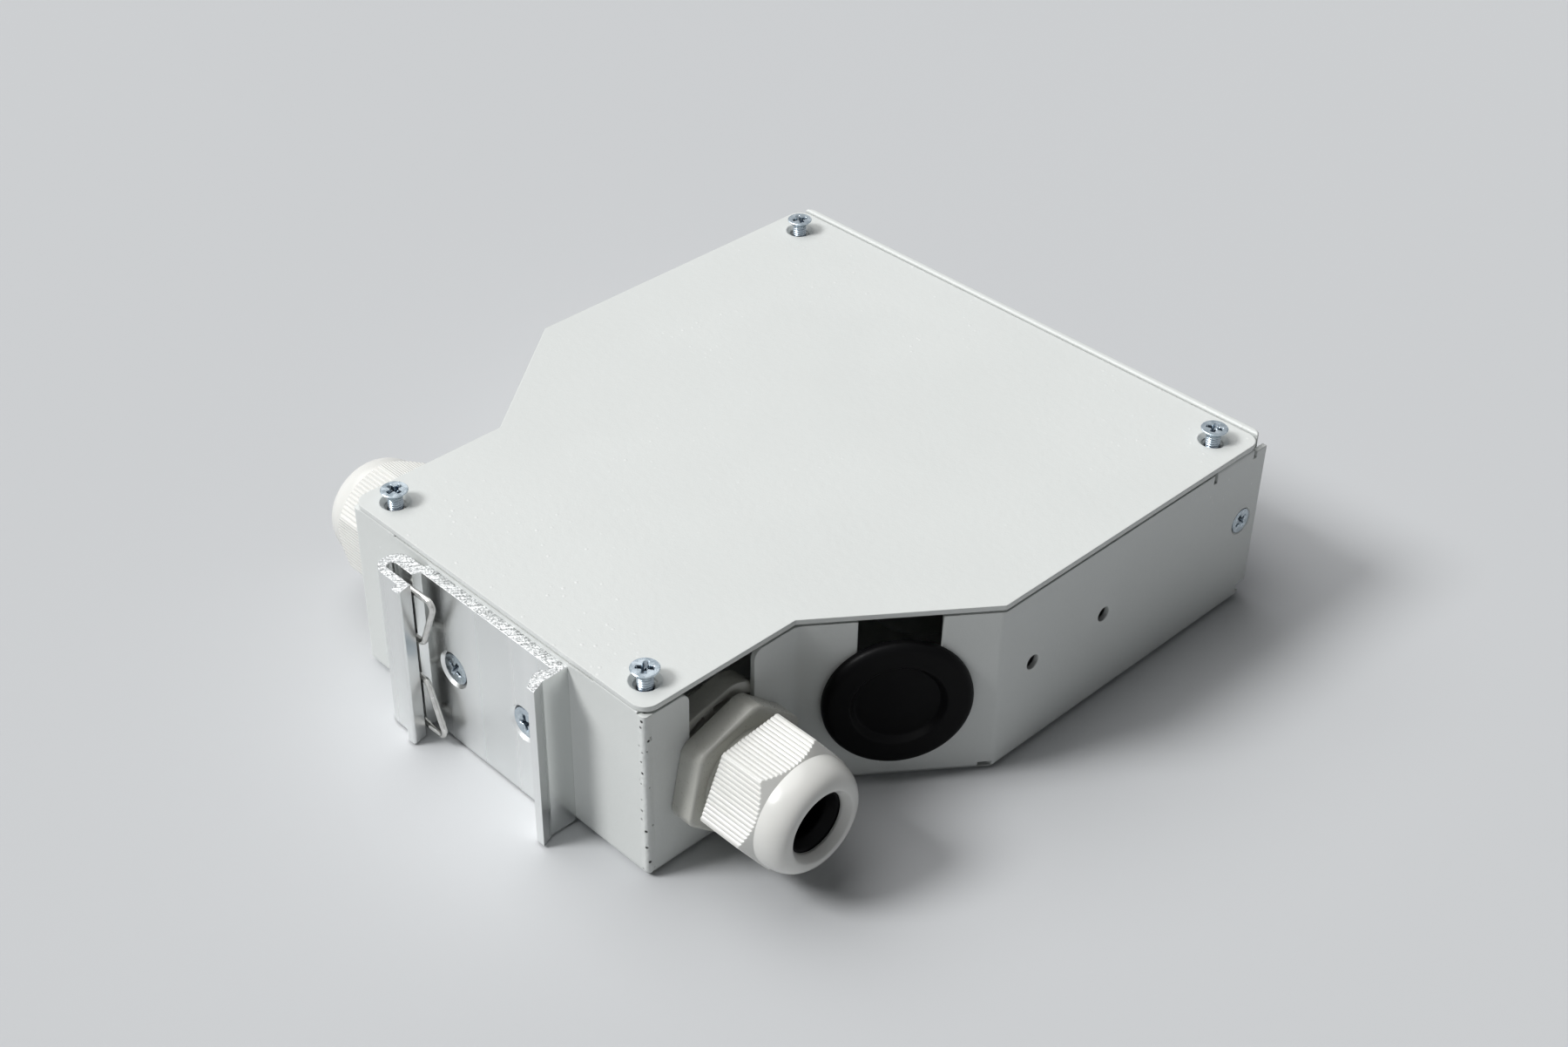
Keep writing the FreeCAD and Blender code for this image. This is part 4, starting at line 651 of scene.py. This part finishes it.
def glandLocknutPoints(look):
    # Turned profile: face, hexagon cut back to a circle at its edge, back, bore. On the face the height
    # drops by the pockets' depth between two circles, except on the ribs that part them.
    corner = math.radians(look["cornerAt"])
    angle = roundAbout(look["columns"], corner)
    reach, _ = hexReach(angle, look["across"], corner)
    face, back, bore, wall = look["face"], look["back"], look["bore"], look["pocketWall"]
    inner, outer = look["pocket"]
    rings = np.concatenate([np.linspace(bore, look["land"], 3), np.linspace(inner, inner + wall, 3),
                            np.linspace(outer - wall, outer, 3), look["rim"]])[:, None]
    part = 2 * math.pi / look["pockets"]
    fromRib = np.abs((angle - math.radians(look["ribAt"]) + part / 2) % part - part / 2) / part
    ribHalf = look["ribShare"] / 2
    sunk = (smoothStep(rings, inner, inner + wall) * (1 - smoothStep(rings, outer - wall, outer))
            * smoothStep(fromRib, ribHalf - look["ribWall"], ribHalf + look["ribWall"]))
    chamfer = look["backChamfer"]
    flank = np.array([(-inwards, face - down) for inwards, down in look["frontEdge"]]
                     + [(0.0, back + chamfer), (-chamfer, back)])
    edge = softMin(reach, look["chamferRadius"], look["cornerSoftness"])
    inside = np.array([(bore, back), (bore, back + look["boreRim"]), (bore, face - look["boreRim"])])
    full = np.ones_like(angle)
    radius = np.concatenate([rings * full, edge + flank[:, :1], inside[:, :1] * full])
    height = np.concatenate([face - look["pocketDepth"] * sunk, flank[:, 1:] * full, inside[:, 1:] * full])
    return radius, angle, height


for side, sign in sides:
    points = onGland(sign, *glandLocknutPoints(glandLocknut))
    surfacePiece("glandLocknut_" + side, points, "case", "nylon", "gland_locknut_" + side, ring=True,
                 finish=glandShadedGrey)
print("gland locknuts ready")

glandSeal = {"outer": 6.9, "inner": 4.5, "start": 5.5, "end": 21.4, "lip": 1.2, "funnelDepth": 1.92,
             "rounding": (0.4, 0.5, 0.5, 1.2, 0.4), "seam": (1.5, 1.4), "step": 1.5, "columns": 72}


def glandSealProfile(look):
    # a ring with a funnel mouth; its line closes on the back face, at the seam
    outer, inner, start, end = (look[key] for key in ("outer", "inner", "start", "end"))
    first, last = look["seam"]
    line = rounded([(inner + first, start), (outer, start), (outer, end), (inner + look["lip"], end),
                    (inner, end - look["funnelDepth"]), (inner, start), (inner + last, start)],
                   look["rounding"])
    return divided(line, look["step"])


for side, sign in sides:
    profile = glandSealProfile(glandSeal)
    points = onGland(sign, profile[:, :1], roundAbout(glandSeal["columns"]), profile[:, 1:])
    surfacePiece("glandSeal_" + side, points, "case", "rubber", "gland_seal_" + side, ring=True)
print("gland seals ready")

blankingPlug = {
    "middle": (51.45, 22.55, 18.8), "out": (0.799, 0.601),
    "rim": 13.65, "rimThick": 2.2, "dish": 7.75, "dishEdge": 8.75, "dishDepth": 1.2,
    "neck": 10.1, "wallBack": -1.1, "barb": 11.3, "back": -3.1,
    "rounding": (0.5, 0.45, 1.45, 0.25, 0.2, 0.2, 0.2, 0.4), "arcPieces": 8, "step": 0.9, "columns": 128,
}


def blankingPlugProfile(look):
    # Rubber bung from the middle of its face to the middle of its back: flat dished centre, a full
    # round over the rim, neck and barb behind the wall
    thick = look["rimThick"]
    floor = thick - look["dishDepth"]
    line = rounded([(0.0, floor), (look["dish"], floor), (look["dishEdge"], thick), (look["rim"], thick),
                    (look["rim"], 0.0), (look["neck"], 0.0), (look["neck"], look["wallBack"]),
                    (look["barb"], look["wallBack"]), (look["neck"], look["back"]), (0.0, look["back"])],
                   look["rounding"], pieces=look["arcPieces"])
    return divided(line, look["step"])


for side, sign in sides:
    profile = blankingPlugProfile(blankingPlug)
    x, y, z = blankingPlug["middle"]
    outX, outY = blankingPlug["out"]
    points = setOut(profile[:, :1], roundAbout(blankingPlug["columns"]), profile[:, 1:],
                    (sign * x, y, z), (sign * outX, outY, 0.0))
    surfacePiece("blankingPlug_" + side, points, "case", "rubber", "blanking_plug_" + side)
print("blanking plugs ready")

smallScrew = {
    "head": 2.6, "rim": 0.22, "rimTop": 0.1, "edge": 0.12,
    "thread": 1.5, "pitch": 0.5, "threadDepth": 0.28, "threadRound": 0.8, "threadIn": 0.5, "rowsPerTurn": 8,
    "underCone": 0.05, "tip": 0.4, "tipTaper": 0.25,
    "recess": 1.3, "wing": 0.78, "wingReach": 1.65, "wingFall": 0.7, "wingWall": 0.07, "heart": (2.2, 2.9),
    "beyondWing": (0.15, 0.3), "recessRows": 30, "faceRows": 4, "columns": 72,
}
clipScrew = dict(smallScrew, head=3.15, thread=2.0, pitch=0.7, threadDepth=0.27, wing=0.72, wingReach=1.8)


def screwPoints(look, length):
    # Countersunk screw: a flat head with a cross recess, whose depth falls off along each wing as a
    # cosine's power and has steep walls; a 45 degree cone; and a shank whose thread is a rounded
    # triangle wave that advances one pitch a turn
    head, thread, columns = look["head"], look["thread"], look["columns"]
    angle = roundAbout(columns)
    recessEnd, faceStart = (look["wingReach"] + beyond for beyond in look["beyondWing"])
    top = np.concatenate([np.linspace(0, recessEnd, look["recessRows"]),
                          np.linspace(faceStart, head - look["edge"], look["faceRows"])])[:, None]
    x, y = np.abs(top * np.cos(angle)), np.abs(top * np.sin(angle))
    along, across = np.maximum(x, y), np.minimum(x, y)
    taper = np.cos(np.clip(along / look["wingReach"], 0, 1) * math.pi / 2) ** look["wingFall"]
    half = look["wing"] / 2
    wall = 1 - smoothStep(across, half - look["wingWall"], half + look["wingWall"])
    inner, outer = (half * share for share in look["heart"])
    heart = 1 - smoothStep(along + across, inner, outer)           # the round-cornered middle
    sunk = -look["recess"] * np.maximum(wall * taper, heart)
    coneEnd = -(head - thread) - look["rim"]
    neck = np.array([(head, -look["rimTop"]), (head, -look["rim"]), (thread, coneEnd)])
    shank = divided([(thread, coneEnd - look["underCone"]), (thread, -length + look["tip"])],
                    look["pitch"] / look["rowsPerTurn"])
    tip = np.array([(thread - look["threadDepth"] - look["tipTaper"], -length), (0.0, -length)])
    phase = (shank[:, 1:] / look["pitch"] - angle / (2 * math.pi)) % 1
    cut = look["threadDepth"] * (1 - np.abs(2 * phase - 1)) ** look["threadRound"]
    cut = cut * smoothStep(-shank[:, 1:], -coneEnd, -coneEnd + look["threadIn"])
    full = np.ones_like(angle)
    radius = np.concatenate([top * full, neck[:, :1] * full, shank[:, :1] - cut, tip[:, :1] * full])
    height = np.concatenate([sunk, neck[:, 1:] * full, shank[:, 1:] * full, tip[:, 1:] * full])
    return radius, angle, height


def placeScrew(name, look, length, top, out, turn, above, body, node):
    radius, angle, height = screwPoints(look, length)
    points = setOut(radius, angle + math.radians(turn), height, top, out, above)
    surfacePiece(name, points, body, "zinc_steel", node)


# where each screw's head lies, and how far its cross is turned
lidScrews = {"top": 41.0, "length": 8.0,
             "front_left": (-56.0, -59.15, 20), "front_right": (56.0, -59.15, 65),
             "rear_left": (-34.5, 66.35, 40), "rear_right": (34.5, 66.35, 5)}
for corner in ("front_left", "front_right", "rear_left", "rear_right"):
    x, y, turn = lidScrews[corner]
    placeScrew("lidScrew_" + corner, smallScrew, lidScrews["length"], (x, y, lidScrews["top"]), (0, 0, 1),
               turn, (0, 1, 0), "screw_" + corner, "lid_screw_" + corner)
panelScrews = {"place": (62.5, -63.15, 20.4), "length": 6.0, "left": 30, "right": 50}
for side, sign in sides:
    x, y, z = panelScrews["place"]
    placeScrew("panelScrew_" + side, smallScrew, panelScrews["length"], (sign * x, y, z), (sign, 0, 0),
               panelScrews[side], (0, 0, 1), "case", "panel_screw_" + side)
clipScrews = {"y": 73.7, "z": 17.7, "length": 8.0, "1": (-10.5, 15), "2": (9.5, 60)}
for number in ("1", "2"):
    x, turn = clipScrews[number]
    placeScrew("clipScrew_" + number, clipScrew, clipScrews["length"], (x, clipScrews["y"], clipScrews["z"]),
               (0, 1, 0), turn, (0, 0, 1), "case", "clip_screw_" + number)
print("screws ready")

wireSpring = {
    "radius": 0.6, "y": 76.6, "middle": (-0.5, 18.0), "bend": 1.4,
    "arcPieces": 10, "step": 1.2, "mergeWithin": 1e-4, "columns": 24,
    "upper": ((19.0, 15.5), (10.4, 15.8), (14.8, 4.6), (19.2, 4.6)),     # one half, mirrored downwards
    "endRound": ((0.0, 0.0), (0.03, 0.35), (0.12, 0.6)),                 # distance from an end, radius there
}


def wireSpringPoints(look):
    # A circle carried along a bent line in an upright plane: at each point it stands on the line's
    # normal in that plane and on the plane's own normal. Both ends close in a small round.
    upper = list(look["upper"])
    corners = upper + [(x, -z) for x, z in reversed(upper)]
    line = rounded(corners, [look["bend"]] * (len(corners) - 2), pieces=look["arcPieces"])
    line = divided(line, look["step"])
    apart = np.linalg.norm(np.diff(line, axis=0), axis=1) > look["mergeWithin"]
    line = line[np.concatenate([[True], apart])] + np.array(look["middle"])
    ahead = np.gradient(line, axis=0)
    ahead /= np.linalg.norm(ahead, axis=1)[:, None]
    depth, size = np.array(look["endRound"]).T
    radius = np.concatenate([size, np.full(len(line) - 2, look["radius"]), size[::-1]])
    line = np.concatenate([line[0] + depth[:, None] * ahead[0], line[1:-1],
                           (line[-1] - depth[:, None] * ahead[-1])[::-1]])
    ahead = np.concatenate([np.repeat(ahead[:1], len(depth), 0), ahead[1:-1],
                            np.repeat(ahead[-1:], len(depth), 0)])
    angle = roundAbout(look["columns"])
    normal = np.stack([-ahead[:, 1], ahead[:, 0]], -1)
    reach = radius[:, None] * np.cos(angle)
    x = line[:, :1] + normal[:, :1] * reach
    z = line[:, 1:] + normal[:, 1:] * reach
    y = look["y"] + radius[:, None] * np.sin(angle)
    return np.stack([x, y, z], -1)


surfacePiece("wireSpring", wireSpringPoints(wireSpring), "wire_spring", "spring_steel", "clip_spring")
print("wire spring ready")
